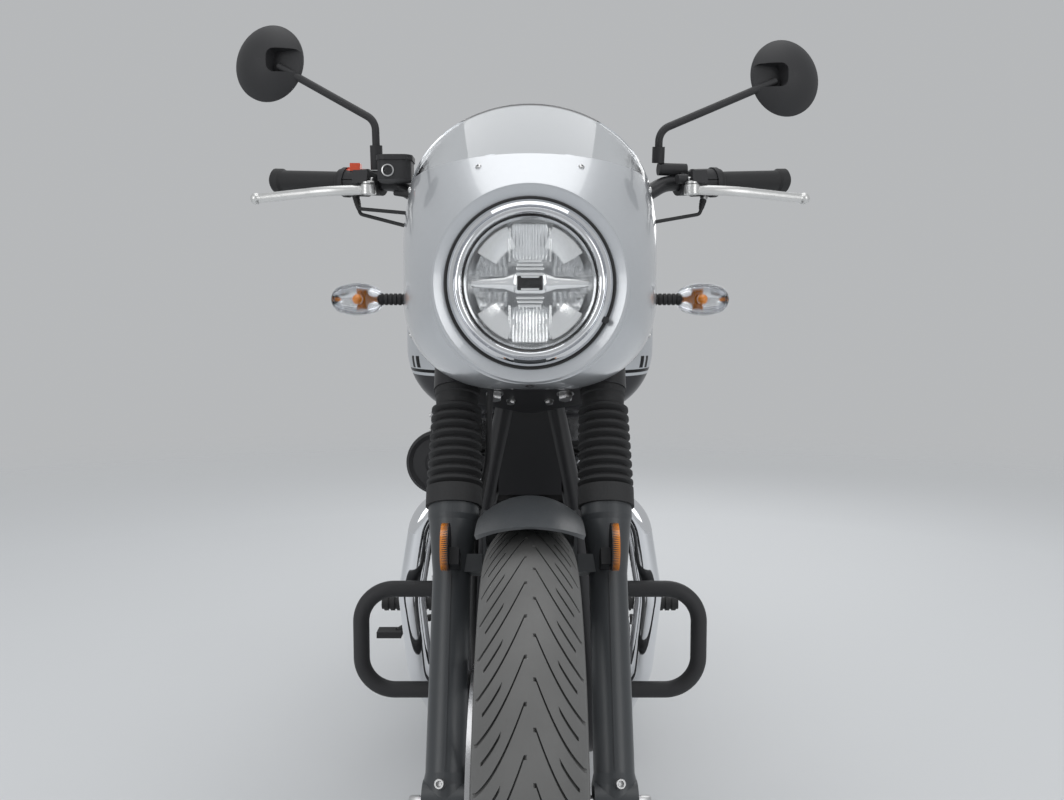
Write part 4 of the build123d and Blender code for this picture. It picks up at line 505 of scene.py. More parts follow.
LAMP_PLACE = place_at(LAMP, (1, 0, 0), (0, 1, 0))      # local x is +Y, local y is up, local z is forward
BOWL_R = LAMP_GLASS_R - 3
BOWL = [(0, -60), (34, -57), (58, -46), (70, -32), (BOWL_R, -22.4), (BOWL_R + 7, -22.4), (BOWL_R + 7, -24)]
BOWL_EDGE = [(BOWL_R + r, z) for r, z in ((-3, -25), (-3.5, -21), (-2, -17.5), (1, -19), (2, -23))]
HALF_BAR = [(0, 12.5, -12), (19, 11.0, -13), (30, 7.0, -16), (50, 5.6, -19), (69, 5.0, -22)]      # x, half, z
BAR_TURNS, BAR_ROUND = (-105, -70, -35, 0, 35, 70, 105), 0.55
BLOCK_Z = -13
LENS_BLOCK = [   # place in the block, size, finish, bevel
    ((0, 0, 0), (38, 25, 12), OPTIC, 4),
    ((0, 0, 4.2), (31, 18, 5), BLACK_GLOSS, 2),
    ((0, 0, 5.6), (20, 10, 4), GLASS, 1.5),
    ((0, -7, 6.4), (21, 2.2, 1.5), OPTIC, 0.6),
    ((0, 7, 6.4), (21, 2.2, 1.5), OPTIC, 0.6),
]
COLUMN_STEPS = [((33 - 3 * k, 3.4, 10), 17 + 4.5 * k, -21 - 1.5 * k) for k in range(3)]      # size, y, z
RIBS, RIB_W, RIB_DEPTH = 11, 4.0, 1.5
COLUMN_LINE = [(27, -36), (40, -34), (54, -30), (69, -25)]      # y, z
COLUMN_WALLS = [(x, 45, -30) for x in (-24, 24)]
CELL_FROM, CELL_WIDTH, CELL_LOW, CELL_TOP, CELL_R = 27, 38, 9, 40.0, 66
CELL_FLUTES = {1: (7, 2.2), -1: (3, 4.0)}      # above and below the bar: count and depth
DOME_FROM, DOME_SWEEP, DOME_STEPS = 30, 38, 8
DOME_LINE = [(46, -26), (58, -21), (71, -19)]      # radius, z


def flute(i, depth):
    """Height of a row of half-round flutes, counted in quarters of a flute."""
    return depth * abs(math.sin(math.pi * i / 4))


def lamp_column(shape, up):
    """Stepped bars and a ribbed column between two walls, above or below the cross bar."""
    for size, y, z in COLUMN_STEPS:
        shape.box(LAMP_PLACE @ Matrix.Translation((0, up * y, z)), size, OPTIC, 1)
    column = []
    for i in range(RIBS * 4 + 1):
        x = (i / 4 - RIBS / 2) * RIB_W
        column.append([LAMP_PLACE @ Vector((x, up * y, z + flute(i, RIB_DEPTH))) for y, z in COLUMN_LINE])
    shape.grid(column, OPTIC)
    for x, y, z in COLUMN_WALLS:
        shape.box(LAMP_PLACE @ Matrix.Translation((x, up * y, z)), (2.4, 40, 18), OPTIC, 0.8)


def lamp_quarter(shape, up, side):
    """A fluted cell beside the column, and the plain dome at its outer corner."""
    cell = []
    flutes, depth = CELL_FLUTES[up]
    for i in range(flutes * 4 + 1):
        x = side * (CELL_FROM + CELL_WIDTH * i / (flutes * 4))
        rise = min(CELL_TOP, math.sqrt(max(CELL_R ** 2 - x ** 2, 100))) - CELL_LOW
        lift = flute(i, depth) + 0.10 * abs(x)
        cell.append([LAMP_PLACE @ Vector((x, up * (CELL_LOW + rise * t), -50 + 20 * t ** 2 + lift))
                     for t in (0, 0.33, 0.66, 1.0)])
    shape.grid(cell, OPTIC)
    dome = []
    for i in range(DOME_STEPS + 1):
        a = math.radians(DOME_FROM + DOME_SWEEP * i / DOME_STEPS)
        across, above = side * math.cos(a), up * math.sin(a)
        dome.append([LAMP_PLACE @ Vector((r * across, r * above, z)) for r, z in DOME_LINE])
    shape.grid(dome, OPTIC)


def headlamp_optics():
    """Reflector behind the glass: fluted quarters, ribbed columns, a cross bar and a lens block."""
    shape = Shape()
    shape.lathe(BOWL, LAMP_PLACE, OPTIC, 64)
    shape.lathe(BOWL_EDGE, LAMP_PLACE, OPTIC, 96)
    bar = []
    for x, h, z in [(-x, h, z) for x, h, z in reversed(HALF_BAR[1:])] + HALF_BAR:
        bar.append([LAMP_PLACE @ Vector((x, h * math.sin(a), z + BAR_ROUND * h * (math.cos(a) - 1)))
                    for a in map(math.radians, BAR_TURNS)])
    shape.grid(bar, OPTIC)
    block = LAMP_PLACE @ Matrix.Translation((0, 0, BLOCK_Z))
    for spot, size, mat, bevel in LENS_BLOCK:
        shape.box(block @ Matrix.Translation(spot), size, mat, bevel)
    for up in (1, -1):
        lamp_column(shape, up)
        for side in (1, -1):
            lamp_quarter(shape, up, side)
    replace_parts(shape.build("headlamp_optics", "steering"), "headlamp_reflector")


# A gasket ring inside the lamp rim, made wide and black as painted shade of the shadow gap between rim and
# glass
GASKET_AND_GAP_SHADE = [(77.0, -8.4), (78.0, -6.4), (81.0, -4.4), (84.2, -4.2), (85.0, -6.0)]
SEAL = [(96.6, -20.0), (97.4, -16.6), (99.0, -15.8), (100.6, -16.4), (101.4, -18.6)]
CLAMP_SCREW = [(0, 3), (3.4, 2.6), (4, 0), (4, -12)]
CLAMP_TURN, CLAMP_R, CLAMP_Z = math.radians(-26), 98.5, -10
GROMMET = [(0, -0.6), (3.2, -0.4), (4.4, 0.9), (5.6, 0.5), (6.0, -0.6)]
GROMMET_FROM = (AHEAD, 0, 787)


def lamp_trim():
    """The dark gasket inside the rim, widened as painted shade of the gap between rim and glass, the seal
    round it, the rim's clamp screw, the cowl's drain grommet.
    """
    shape = Shape()
    shape.lathe(GASKET_AND_GAP_SHADE, LAMP_PLACE, BLACK_GLOSS, 96)
    shape.lathe(SEAL, LAMP_PLACE, RUBBER, 96)
    spot = LAMP_PLACE @ Vector((CLAMP_R * math.cos(CLAMP_TURN), CLAMP_R * math.sin(CLAMP_TURN), CLAMP_Z))
    shape.lathe(CLAMP_SCREW, place_at(spot, (1, 0, 0)), BLACK_SATIN, 16)
    spot, normal = seat_on("cowl", GROMMET_FROM, (-1, 0, 0))
    shape.lathe(GROMMET, place_at(spot, normal), RUBBER, 20)
    shape.build("lamp_trim", "steering")


# Seat

SEAT_SECTIONS = [   # x, width, bottom, top, corner radius, as in the source
    (-136.0, 176.0, 800.0, 848.0, 18.0),
    (-262.0, 238.0, 792.0, 846.0, 20.0),
    (-492.0, 250.0, 800.0, 862.0, 26.0),
    (-672.0, 224.0, 836.0, 916.0, 36.0),
    (-788.0, 150.0, 852.0, 914.0, 26.0),
]
SEAT_INSET = 5.0              # the cover starts this much smaller, then swells
SEAT_STATIONS = 48
END_REACH, END_ROUND = 30.0, 10.0      # the ends are rounded off by this much, over this length
SEAT_VOXEL, SEAT_CAP = 6.0, 7.0
FILL_PRESSURE, FILL_FRAMES = 4.0, 20
CHANNELS = [-250.0 - 34.0 * k for k in range(11)]      # sewn across the seat
CHANNEL_DEPTH, CHANNEL_HALF = 5.0, 7.0
CHANNEL_MARGIN, CHANNEL_EASE = 26.0, 10.0      # where they run out, in from the sides
PIPING_R, PIPING_DROP = 2.6, 21.0      # below the crown
PIPING_X = [-146.0 - 632.0 * i / 32 for i in range(33)]
PAN_DEPTH, PAN_INSET, PAN_CORNER = 9.0, 7.0, 4.5
PAN_X = [-142.0 - 640.0 * i / 30 for i in range(31)]
RUBBERS = [(-260.0, 113.0, 771.0), (-470.0, 113.0, 787.5), (-740.0, 92.8, 810.0)]      # x, y, rail's top


def seat_at(x):
    """Width, bottom, top and corner radius of the seat at an x."""
    for (x0, *a), (x1, *b) in zip(SEAT_SECTIONS, SEAT_SECTIONS[1:]):
        if x >= x1:
            t = min(max((x - x0) / (x1 - x0), 0.0), 1.0)
            t = t * t * (3 - 2 * t)
            return [p * (1 - t) + q * t for p, q in zip(a, b)]
    return list(SEAT_SECTIONS[-1][1:])


def rounded_row(x, half, low, high, corner, steps=6):
    """A rounded upright outline across the seat."""
    row = []
    for cy, cz, start in ((half - corner, high - corner, 0), (corner - half, high - corner, 90),
                          (corner - half, low + corner, 180), (half - corner, low + corner, 270)):
        for i in range(steps + 1):
            a = math.radians(start + 90 * i / steps)
            row.append(Vector((x, cy + corner * math.cos(a), cz + corner * math.sin(a))))
    return row


def seat_rows(inset, lift):
    """Outlines along the seat, taken in at the sides, ends and top, and lifted off the pan."""
    rows = []
    x0, x1 = SEAT_SECTIONS[0][0] - inset, SEAT_SECTIONS[-1][0] + inset
    for i in range(SEAT_STATIONS + 1):
        x = x0 + (x1 - x0) * i / SEAT_STATIONS
        width, low, high, corner = seat_at(x)
        end = min(x0 - x, x - x1) / END_REACH
        round_off = END_ROUND * (1 - min(end, 1.0)) ** 2
        half, top = width / 2 - inset - round_off, high - inset - round_off
        rows.append(rounded_row(x, half, low + lift, top, corner - inset))
    return rows


def swell(obj, pressure, frames, cap):
    """Fills a closed cover from inside, held where it rests, and caps how far any point goes."""
    rest = [v.co.copy() for v in obj.data.vertices]
    held = obj.vertex_groups.new(name="held")
    held.add([v.index for v in obj.data.vertices if v.normal.z < -0.8], 1.0, "REPLACE")
    cloth = obj.modifiers.new("fill", "CLOTH")
    cloth.settings.use_pressure = True
    cloth.settings.uniform_pressure_force = pressure
    cloth.settings.effector_weights.gravity = 0.0
    cloth.settings.vertex_group_mass = held.name
    for step in range(1, frames + 1):
        bpy.context.scene.frame_set(step)
    filled = obj.evaluated_get(bpy.context.evaluated_depsgraph_get()).to_mesh()
    for v, old, new in zip(obj.data.vertices, rest, [w.co.copy() for w in filled.vertices]):
        move = new - old
        v.co = old + move * min(1.0, cap * MM / max(move.length, 1e-9))
    obj.modifiers.remove(cloth)
    bpy.context.scene.frame_set(1)


def sew_channels(obj):
    """Draws the cover down along the cross seams of its upper side."""
    for v in obj.data.vertices:
        x, y, z = v.co / MM
        width, low, high, _ = seat_at(x)
        upper = min(max((z - (low + high) / 2) / (0.3 * (high - low)), 0.0), 1.0)
        inner = min(max((0.5 * width - CHANNEL_MARGIN - abs(y)) / CHANNEL_EASE, 0.0), 1.0)
        pull = sum(math.exp(-((x - at) / CHANNEL_HALF) ** 2) for at in CHANNELS)
        v.co.z -= CHANNEL_DEPTH * MM * upper * inner * min(pull, 1.0)


def seat():
    """Filled cushion with sewn channels and piped edges, on a moulded pan with rubbers on the rails."""
    shape = Shape()
    shape.grid(seat_rows(SEAT_INSET, PAN_DEPTH), LEATHER, wrap_cols=True, caps=True)
    cushion = shape.build("seat_cushion", "chassis")
    remesh = cushion.modifiers.new("even", "REMESH")
    remesh.mode = "VOXEL"
    remesh.voxel_size = SEAT_VOXEL * MM
    even = bpy.data.meshes.new_from_object(cushion.evaluated_get(bpy.context.evaluated_depsgraph_get()))
    cushion.modifiers.remove(remesh)
    cushion.data = even
    swell(cushion, FILL_PRESSURE, FILL_FRAMES, SEAT_CAP)
    sew_channels(cushion)
    for face in even.polygons:
        face.use_smooth = True
    cushion.modifiers.new("round", "SUBSURF").levels = 1
    cushion.modifiers["round"].render_levels = 1
    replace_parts(cushion, "seat")
    skin = skin_of(even)
    trim = Shape()
    for side in (1, -1):
        starts = [Vector((x, side * ASIDE, seat_at(x)[2] - PIPING_DROP)) for x in PIPING_X]
        edge = [skin.ray_cast(start, Vector((0, -side, 0)))[0] for start in starts]
        trim.tube(edge, PIPING_R, BLACK_GLOSS, 8, 2)
    trim.grid(seat_pan_rows(), BLACK_SATIN, wrap_cols=True, caps=True)
    for x, y, rail_top in RUBBERS:
        top = seat_at(x)[1] + 2
        for side in (1, -1):
            middle = Matrix.Translation((x, side * (y - 1), (rail_top + top) / 2))
            trim.box(middle, (28, 18, top - rail_top), RUBBER, 3)
    trim.build("seat_base", "chassis")


def seat_pan_rows():
    """The moulded pan under the cushion."""
    rows = []
    for x in PAN_X:
        width, low, *_ = seat_at(x)
        rows.append(rounded_row(x, width / 2 - PAN_INSET, low, low + PAN_DEPTH + 1, PAN_CORNER, 3))
    return rows


TANK_PAD = ((-116, 0, 834), (14, 70, 66))      # middle, size
TANK_TAB = ((-124.5, 0, 852), (4, 44, 24))
TANK_BOLT = (-126.5, 0, 852)


def tank_mount():
    """Rubber pad and bolted tab that close the tank's tunnel behind."""
    shape = Shape()
    for (middle, size), mat, bevel in ((TANK_PAD, RUBBER, 4), (TANK_TAB, BLACK_SATIN, 1.5)):
        shape.box(Matrix.Translation(middle), size, mat, bevel)
    bolt_head(shape, TANK_BOLT, (-1, 0, 0), "hex", 6.0, ZINC)
    shape.build("tank_mount", "chassis")


# Chain

LINK = 15.9
PLATE_R, PLATE_WAIST = 6.9, 4.7
PLATE_TURNS = [math.radians(a) for a in (110, 145, 180, 215, 250)]      # round a plate's rear end
PLATES = {0: (6.0, 7.7), 1: (4.0, 5.7)}      # outer and inner links: a plate's reach from the middle plane
ROLLER = [(5.0, -3.7), (5.0, 3.7)]
PIN = [(0, -8.3), (2.4, -8.3), (2.4, 8.3), (0, 8.3)]
FRONT_HUB, REAR_HUB = Vector((GEARBOX.x, GEARBOX.z)), Vector((REAR_AXLE.x, REAR_AXLE.z))
HUB_REACH = (FRONT_HUB - REAR_HUB).length
CHAIN_LEAN = math.asin((REAR_SPROCKET_R - FRONT_SPROCKET_R) / HUB_REACH)
CHAIN_RUN = HUB_REACH * math.cos(CHAIN_LEAN)
FRONT_ARC = FRONT_SPROCKET_R * (math.pi - 2 * CHAIN_LEAN)
REAR_ARC = REAR_SPROCKET_R * (math.pi + 2 * CHAIN_LEAN)
CHAIN_LENGTH = 2 * CHAIN_RUN + FRONT_ARC + REAR_ARC


def chain_point(way):
    """A point of the chain's pitch line, by its way from the top of the rear sprocket."""
    u = (FRONT_HUB - REAR_HUB).normalized()
    v = Vector((-u.y, u.x))
    if way < CHAIN_RUN:
        n = v * math.cos(CHAIN_LEAN) + u * math.sin(CHAIN_LEAN)
        return REAR_HUB + n * REAR_SPROCKET_R + Vector((n.y, -n.x)) * way
    way -= CHAIN_RUN
    if way < FRONT_ARC:
        a = math.pi / 2 - CHAIN_LEAN - way / FRONT_SPROCKET_R
        return FRONT_HUB + (u * math.cos(a) + v * math.sin(a)) * FRONT_SPROCKET_R
    way -= FRONT_ARC
    if way < CHAIN_RUN:
        n = u * math.sin(CHAIN_LEAN) - v * math.cos(CHAIN_LEAN)
        return FRONT_HUB + n * FRONT_SPROCKET_R + Vector((n.y, -n.x)) * way
    a = CHAIN_LEAN - math.pi / 2 - (way - CHAIN_RUN) / REAR_SPROCKET_R
    return REAR_HUB + (u * math.cos(a) + v * math.sin(a)) * REAR_SPROCKET_R


def roller_chain():
    """Inner and outer links in turn, with rollers and pins, round both sprockets."""
    count = 2 * round(CHAIN_LENGTH / LINK / 2)
    pins = [chain_point(CHAIN_LENGTH * k / count) for k in range(count)]
    shape = Shape()
    for k, a in enumerate(pins):
        b = pins[(k + 1) % count]
        spot = Vector((a.x, CHAIN_Y, a.y))
        along = Vector((b.x - a.x, 0, b.y - a.y))
        place = place_at(spot, (0, 1, 0), along)
        pitch = along.length
        rear_end = [(PLATE_R * math.cos(t), PLATE_R * math.sin(t)) for t in PLATE_TURNS]
        front_end = [(pitch - x, -y) for x, y in rear_end]
        outline = [(pitch / 2, PLATE_WAIST), *rear_end, (pitch / 2, -PLATE_WAIST), *front_end]
        near, far = PLATES[k % 2]
        for side in (1, -1):
            shape.grid([[place @ Vector((x, y, side * z)) for x, y in outline] for z in (near, far)], STEEL,
                       wrap_cols=True, caps=True)
        shape.lathe(ROLLER, place, STEEL, 10)
        shape.lathe(PIN, place, STEEL, 8)
    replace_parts(shape.build("roller_chain", "chassis"), "drive_chain")


# Dials and mirrors

DIAL_FACING = (-0.72, 0.0, 0.69)
DIAL_X, DIAL_Z, DIAL_R = 486.0, 1046.0, 38.8
DIALS = [   # y, figures, reading as a share of the sweep
    (47.0, "0 20 40 60 80 100 120 140 160", 0.2625),
    (-47.0, "0 1 2 3 4 5 6 7 8", 0.0),
]
DIAL_START, DIAL_SWEEP = 225.0, 270.0      # degrees
MARKS, MARK_R, LONG_MARK, SHORT_MARK = 5, 36.8, (5.5, 1.1, 0.3), (3.0, 0.6, 0.3)      # for each figure
FIGURE_R, FIGURE_SIZE, PRINT_Z = 25.5, 6.4, 0.6
NEEDLE = [[(-8, -1.4), (-8, 1.4)], [(0, -1.6), (0, 1.6)], [(30, -0.4), (30, 0.4)]]
NEEDLE_Z = 2.0
NEEDLE_CAP = [(5, 0.6), (5, 2.2), (3.6, 3.2), (0, 3.2)]
DIAL_RING = [(38.9, 4.2), (39.6, 5.8), (43.0, 6.0), (44.4, 4.4), (44.4, 0.0)]


def dial_turn(share):
    """The turn of a dial's mark or needle, by its share of the sweep."""
    return Matrix.Rotation(math.radians(DIAL_START - DIAL_SWEEP * share), 4, "Z")


def dials():
    """Printed faces, needles and glasses inside the instruments' rings."""
    shape = Shape()
    for y, figures, reading in DIALS:
        place = place_at((DIAL_X, y, DIAL_Z), DIAL_FACING, (0, -1, 0))
        shape.lathe([(DIAL_R, 0.1), (DIAL_R, 0.5), (0, 0.5)], place, BLACK_MATT, 48)
        texts = figures.split()
        last = len(texts) - 1
        for k in range(last * MARKS + 1):
            size = SHORT_MARK if k % MARKS else LONG_MARK
            mark = dial_turn(k / (last * MARKS)) @ Matrix.Translation((MARK_R - size[0] / 2, 0, PRINT_Z))
            shape.box(place @ mark, size, WHITE)
        for k, text in enumerate(texts):
            spot = dial_turn(k / last) @ Vector((FIGURE_R, 0, PRINT_Z))
            shape.digits(text, place @ Matrix.Translation(spot), FIGURE_SIZE, WHITE)
        turn = dial_turn(reading)
        shape.grid([[place @ turn @ Vector((*q, NEEDLE_Z)) for q in row] for row in NEEDLE], KILL_RED)
        shape.lathe(NEEDLE_CAP, place, BLACK_GLOSS, 20)
        shape.lathe([(0, 4.4), (DIAL_R + 0.1, 4.4), (DIAL_R + 0.1, 3.8), (0, 3.8)], place, GLASS, 48)
        shape.lathe(DIAL_RING, place, CHROME, 56)
    shape.build("dial_faces", "steering")


MIRROR_HEADS = [(1, (350.0, 377.0, 1222.0)), (-1, (350.0, -385.0, 1243.0))]
MIRROR_TURN, MIRROR_TILT = math.radians(17.0), -0.08
MIRROR_FACE = [(0, 12.0), (20, 11.9), (38, 11.3), (50, 10.5), (51, 9.8)]
MIRROR_EDGE = [(50.6, 9.8), (51.4, 11.4), (53.0, 11.2), (53.4, 9.4)]


def mirror_glasses():
    """Domed glasses, each in a rubber edge."""
    shape = Shape()
    for side, centre in MIRROR_HEADS:
        place = place_at(centre, (-math.cos(MIRROR_TURN), -side * math.sin(MIRROR_TURN), MIRROR_TILT))
        shape.lathe(MIRROR_FACE, place, MIRROR, 56)
        shape.lathe(MIRROR_EDGE, place, RUBBER, 56)
    shape.build("mirror_glasses", "steering")


# Turn signals

SIGNAL_R, SIGNAL_HALF, SIGNAL_WALL, STALK_R, RIDGE = 22.0, 36.0, 2.0, 8.0, 6.0
BULB = [(0, -14), (5, -14), (5.5, -6), (7.5, 1), (6.5, 6), (3.5, 9.5), (0, 10.5)]
SIGNALS = [   # node, body, middle of the left one, way it faces, inner end of its stalk
    ("front_turn_signals", "steering", (482.0, 234.0, 894.0), 1, 126.0),
    ("rear_turn_signals", "chassis", (-762.0, 196.0, 796.0), -1, 104.0),
]


def half_shell(shape, middle, profile, facing, wall, mat):
    """Half of a turned form about Y, with a wall: the lens or the bowl of a turn signal."""
    rows = []
    for r, y in profile:
        arc = [math.radians(-89 + 178 * i / 16) for i in range(17)]
        loop = [(r, t) for t in arc] + [(max(r - wall, 0.2), t) for t in reversed(arc)]
        rows.append([middle + Vector((facing * q * math.cos(t), y, q * math.sin(t))) for q, t in loop])
    shape.grid(rows, mat, wrap_cols=True, caps=True)


def turn_signals():
    """Bright bowl, clear lens, amber bulb and ridged stalk."""
    r, half = SIGNAL_R, SIGNAL_HALF
    end = arc_through((0.6, half), (0.6 * r, 0.86 * half), (0.86 * r, 0.55 * half), 6)
    belly = arc_through((0.86 * r, 0.55 * half), (r, 0.0), (0.86 * r, -0.55 * half), 8)
    profile = end + belly[1:] + [(q, -y) for q, y in reversed(end)][1:]
    for node, body, spot, facing, root in SIGNALS:
        shape = Shape()
        for side in (1, -1):
            middle = Vector((spot[0], side * spot[1], spot[2]))
            half_shell(shape, middle, profile, facing, SIGNAL_WALL, GLASS)
            half_shell(shape, middle, profile, -facing, SIGNAL_WALL, CHROME)
            shape.lathe(BULB, place_at(middle, (facing, 0, 0)), AMBER, 20)
            stalk = place_at((spot[0], side * root, spot[2]), (0, side, 0))
            reach = spot[1] - 0.8 * half - root
            ridges = int(reach / RIDGE)
            edge = [(0, 0)]
            for k in range(ridges):
                h = reach * k / ridges
                edge += [(STALK_R, h), (STALK_R, h + 3.6), (STALK_R - 1.4, h + 4.2), (STALK_R - 1.4, h + 5.4)]
            edge += [(STALK_R, reach), (0, reach + 3)]
            shape.lathe(edge, stalk, RUBBER, 24)
        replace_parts(shape.build(node.replace("turn_signals", "signal_lamps"), body), node)


# Controls

CABLE_STARTS = [(1, 0.0), (-1, 0.0), (-1, 12.0)]      # side, shift forward, as in the source
CABLE_ALONG, CABLE_RISE = 66.0, 0.53
FERRULE = [(0, -2), (5.6, -2), (5.6, 5), (4.4, 6)]
BOOT = [(5.0, 5), (5.0, 9), (4.4, 10), (4.8, 13), (4.0, 14), (4.2, 17), (3.2, 22), (2.7, 23)]
WINDOW = (436.0, -198.0, 1074.0)
WINDOW_RING = [(8.6, -1), (8.6, 1.4), (7.0, 1.8), (6.4, 0.6)]
WINDOW_GLASS = [(6.5, 0.4), (4, 1.0), (0, 1.2)]
PIVOT_ALONG, PIVOT_OFF = 39.0, Vector((38, 0, -6.2))
PIVOT_CAP = [(0, -1), (9.5, -1), (9.5, 1.6), (8.0, 3.0), (0, 3.2)]


def control_trim():
    """Cable boots and ferrules, the reservoir's window, and the caps of the lever pivots."""
    shape = Shape()
    for side, out in CABLE_STARTS:
        start = bar_point(side, CABLE_ALONG) + Vector((4 + out, 0, -22 + CABLE_RISE * out))
        place = place_at(start, (14, -8 * side, -26))
        shape.lathe(FERRULE, place, ZINC, 16)
        shape.lathe(BOOT, place, RUBBER, 16)
    window = place_at(WINDOW, (1, 0, 0))
    shape.lathe(WINDOW_RING, window, ZINC, 28)
    shape.lathe(WINDOW_GLASS, window, GLASS, 28)
    for side in (1, -1):
        pivot = bar_point(side, PIVOT_ALONG) + PIVOT_OFF
        shape.lathe(PIVOT_CAP, place_at(pivot, (0, 0, 1)), BRIGHT_CAST, 24)
    shape.build("control_trim", "steering")


# Fasteners

def bolt_head(shape, spot, axis, kind, r, mat):
    """A hex, socket or pan head of a radius, seated at a point."""
    place = place_at(spot, axis)
    if kind == "hex":
        shape.lathe([(1.3 * r, -1.0), (1.3 * r, 0.8), (1.05 * r, 1.0)], place, mat, 18)
        shape.lathe([(1.08 * r, 0.8), (1.08 * r, 0.8 * r), (0.9 * r, r), (0, r)], place, mat, 6)
    elif kind == "socket":
        shape.lathe([(r, -1.0), (r, 0.8 * r), (0.86 * r, r), (0.58 * r, r)], place, mat, 16)
        shape.lathe([(0.58 * r, r), (0.55 * r, 0.25 * r), (0, 0.25 * r)], place, mat, 6)
    else:
        shape.lathe([(r, -1.0), (r, 0.2), (0.8 * r, 0.42 * r), (0.34 * r, 0.55 * r)], place, mat, 16)
        shape.lathe([(0.34 * r, 0.55 * r), (0.3 * r, 0.1), (0, 0.1)], place, mat, 4)


# A row is a node, the start and direction of the line that finds a bolt's seat, its head and its radius

def from_side(node, side, x, z, kind, r):
    """A bolt seen from one side."""
    return node, (x, side * ASIDE, z), (0, -side, 0), kind, r


def on_sides(node, x, z, kind, r):
    """A bolt on each side."""
    return [from_side(node, side, x, z, kind, r) for side in (1, -1)]


def on_front(node, y, z, kind, r):
    """A pair of bolts seen from ahead."""
    return [(node, (AHEAD, side * y, z), (-1, 0, 0), kind, r) for side in (1, -1)]


def on_top(node, x, ys, kind, r):
    """Bolts seen from above."""
    return [(node, (x, y, ABOVE), (0, 0, -1), kind, r) for y in ys]


def on_legs(node, x, y, up, toward, kind, r):
    """A bolt on each fork leg, in the fork's own frame."""
    return [(node, fork_point(x, side * y, up), toward, kind, r) for side in (1, -1)]


def on_ring(node, side, middle, radius, angles, kind, r):
    """Bolts on a circle, seen from one side."""
    x, z = middle
    return [from_side(node, side, x + radius * math.cos(t), z + radius * math.sin(t), kind, r)
            for t in map(math.radians, angles)]


DOWN_LEG = (math.sin(RAKE), 0.0, -math.cos(RAKE))
INTO_LEG = (-math.cos(RAKE), 0.0, -math.sin(RAKE))
SIXTHS = range(30, 390, 60)
FRONT_MIDDLE, REAR_MIDDLE = (FRONT_AXLE.x, FRONT_AXLE.z), (REAR_AXLE.x, REAR_AXLE.z)
FASTENERS = {
    "steering": [
        *on_front("cowl", 62, 1049, "pan", 4.0),
        *on_sides("cowl", 490, 1040, "pan", 3.6),
        *on_sides("cowl", 506, 1036, "pan", 3.0),
        *on_sides("cowl", 528, 846, "pan", 4.2),
        *on_legs("triple_clamp", 200, FORK_HALF, 522, INTO_LEG, "socket", 5.0),
        *on_legs("triple_clamp", 200, FORK_HALF, 704, INTO_LEG, "socket", 5.0),
        *on_front("triple_clamp", 47, 768, "hex", 9.0),
        *on_front("triple_clamp", 26, 757, "hex", 5.0),
        *on_top("triple_clamp", 399, (50, -50), "socket", 4.0),
        *on_top("triple_clamp", 421, (50, -50), "socket", 4.0),
        *on_legs("fork_tubes", 0, FORK_HALF, 900, DOWN_LEG, "hex", 11.0),
        *[("front_caliper", fork_point(-86, -300, up), (0, 1, 0), "socket", 5.5) for up in (84, 140)],
        *on_legs("fork_sliders", 200, 100, 22, INTO_LEG, "socket", 6.0),
        *[("hand_controls", bar_point(side, 35) + Vector((200, 0, 0)), (-1, 0, 0), "socket", 3.6)
          for side in (1, -1)],
        *on_top("hand_controls", 411, (-203, -177), "pan", 3.2),
    ],
    "chassis": [
        *on_ring("engine_side_covers", -1, (130, 325), 46, (-75, -25, 25, 75), "socket", 4.2),
        *on_ring("engine_side_covers", -1, (-42, 348), 53, (105, 155, 205, 255), "socket", 4.2),
        *on_ring("engine_side_covers", 1, (150, 325), 36, (90, 210, 330), "socket", 4.2),
        *on_ring("engine_side_covers", 1, (-68, 348), 60, (60, 110, 250, 300), "socket", 4.2),
        *on_top("cam_cover", 96, (-100, 0, 100), "hex", 6.0),
        *on_top("cam_cover", 128, (-100, 0, 100), "hex", 6.0),
        *[from_side("cam_drive_tower", -1, x, z, "socket", 3.8) for x in (84, 132) for z in (677, 703)],
        *on_front("cylinder_head", 30, 618, "hex", 5.0),
        *on_front("cylinder_head", 110, 618, "hex", 5.0),
        *on_sides("frame", -560, 782, "hex", 9.0),
        *on_sides("swingarm", -643, 385, "hex", 8.0),
        *on_sides("rear_bolts", *REAR_MIDDLE, "hex", 12.0),
        *on_sides("rear_bolts", -200, 356, "hex", 11.0),
        ("horn", (AHEAD, -136, 655), (-1, 0, 0), "hex", 6.0),
        *on_sides("side_panels", -330, 690, "pan", 5.0),
        *on_sides("side_panels", -330, 625, "pan", 5.0),
        *[("tail_light", (-AHEAD, y, 669), (1, 0, 0), "pan", 3.2) for y in (-30, 30)],
    ],
    "front_wheel": on_ring("front_brake_disc", -1, FRONT_MIDDLE, 34, SIXTHS, "socket", 5.0),
    "rear_wheel": [
        *on_ring("rear_brake_disc", -1, REAR_MIDDLE, 34, SIXTHS, "socket", 5.0),
        *on_ring("rear_sprocket", 1, REAR_MIDDLE, 46, SIXTHS, "hex", 5.5),
    ],
}
AXLE_END, AXLE_PLUG_R = 126.0, 10.5


def fasteners():
    """Bolts, screws and nuts of each body, seated on its skin."""
    for body, rows in FASTENERS.items():
        shape = Shape()
        for node, start, toward, kind, r in rows:
            spot, normal = seat_on(node, start, toward)
            bolt_head(shape, spot, normal, kind, r, ZINC)
        if body == "steering":
            for side in (1, -1):
                plug = FRONT_AXLE + Vector((0, side * AXLE_END, 0))
                bolt_head(shape, plug, (0, side, 0), "socket", AXLE_PLUG_R, ZINC)
        shape.build(f"{body}_fasteners", body)


HEADER_END, MUFFLER_END = Vector((-168.0, 168.0, 222.0)), Vector((-880.0, 190.0, 312.0))
CLAMP_BAND = [(23.2, 6), (25.4, 6.6), (25.4, 21.4), (23.2, 22)]
CLAMP_LUG, LUG_SIZE = (-28, 0, 14), (9, 12, 14)


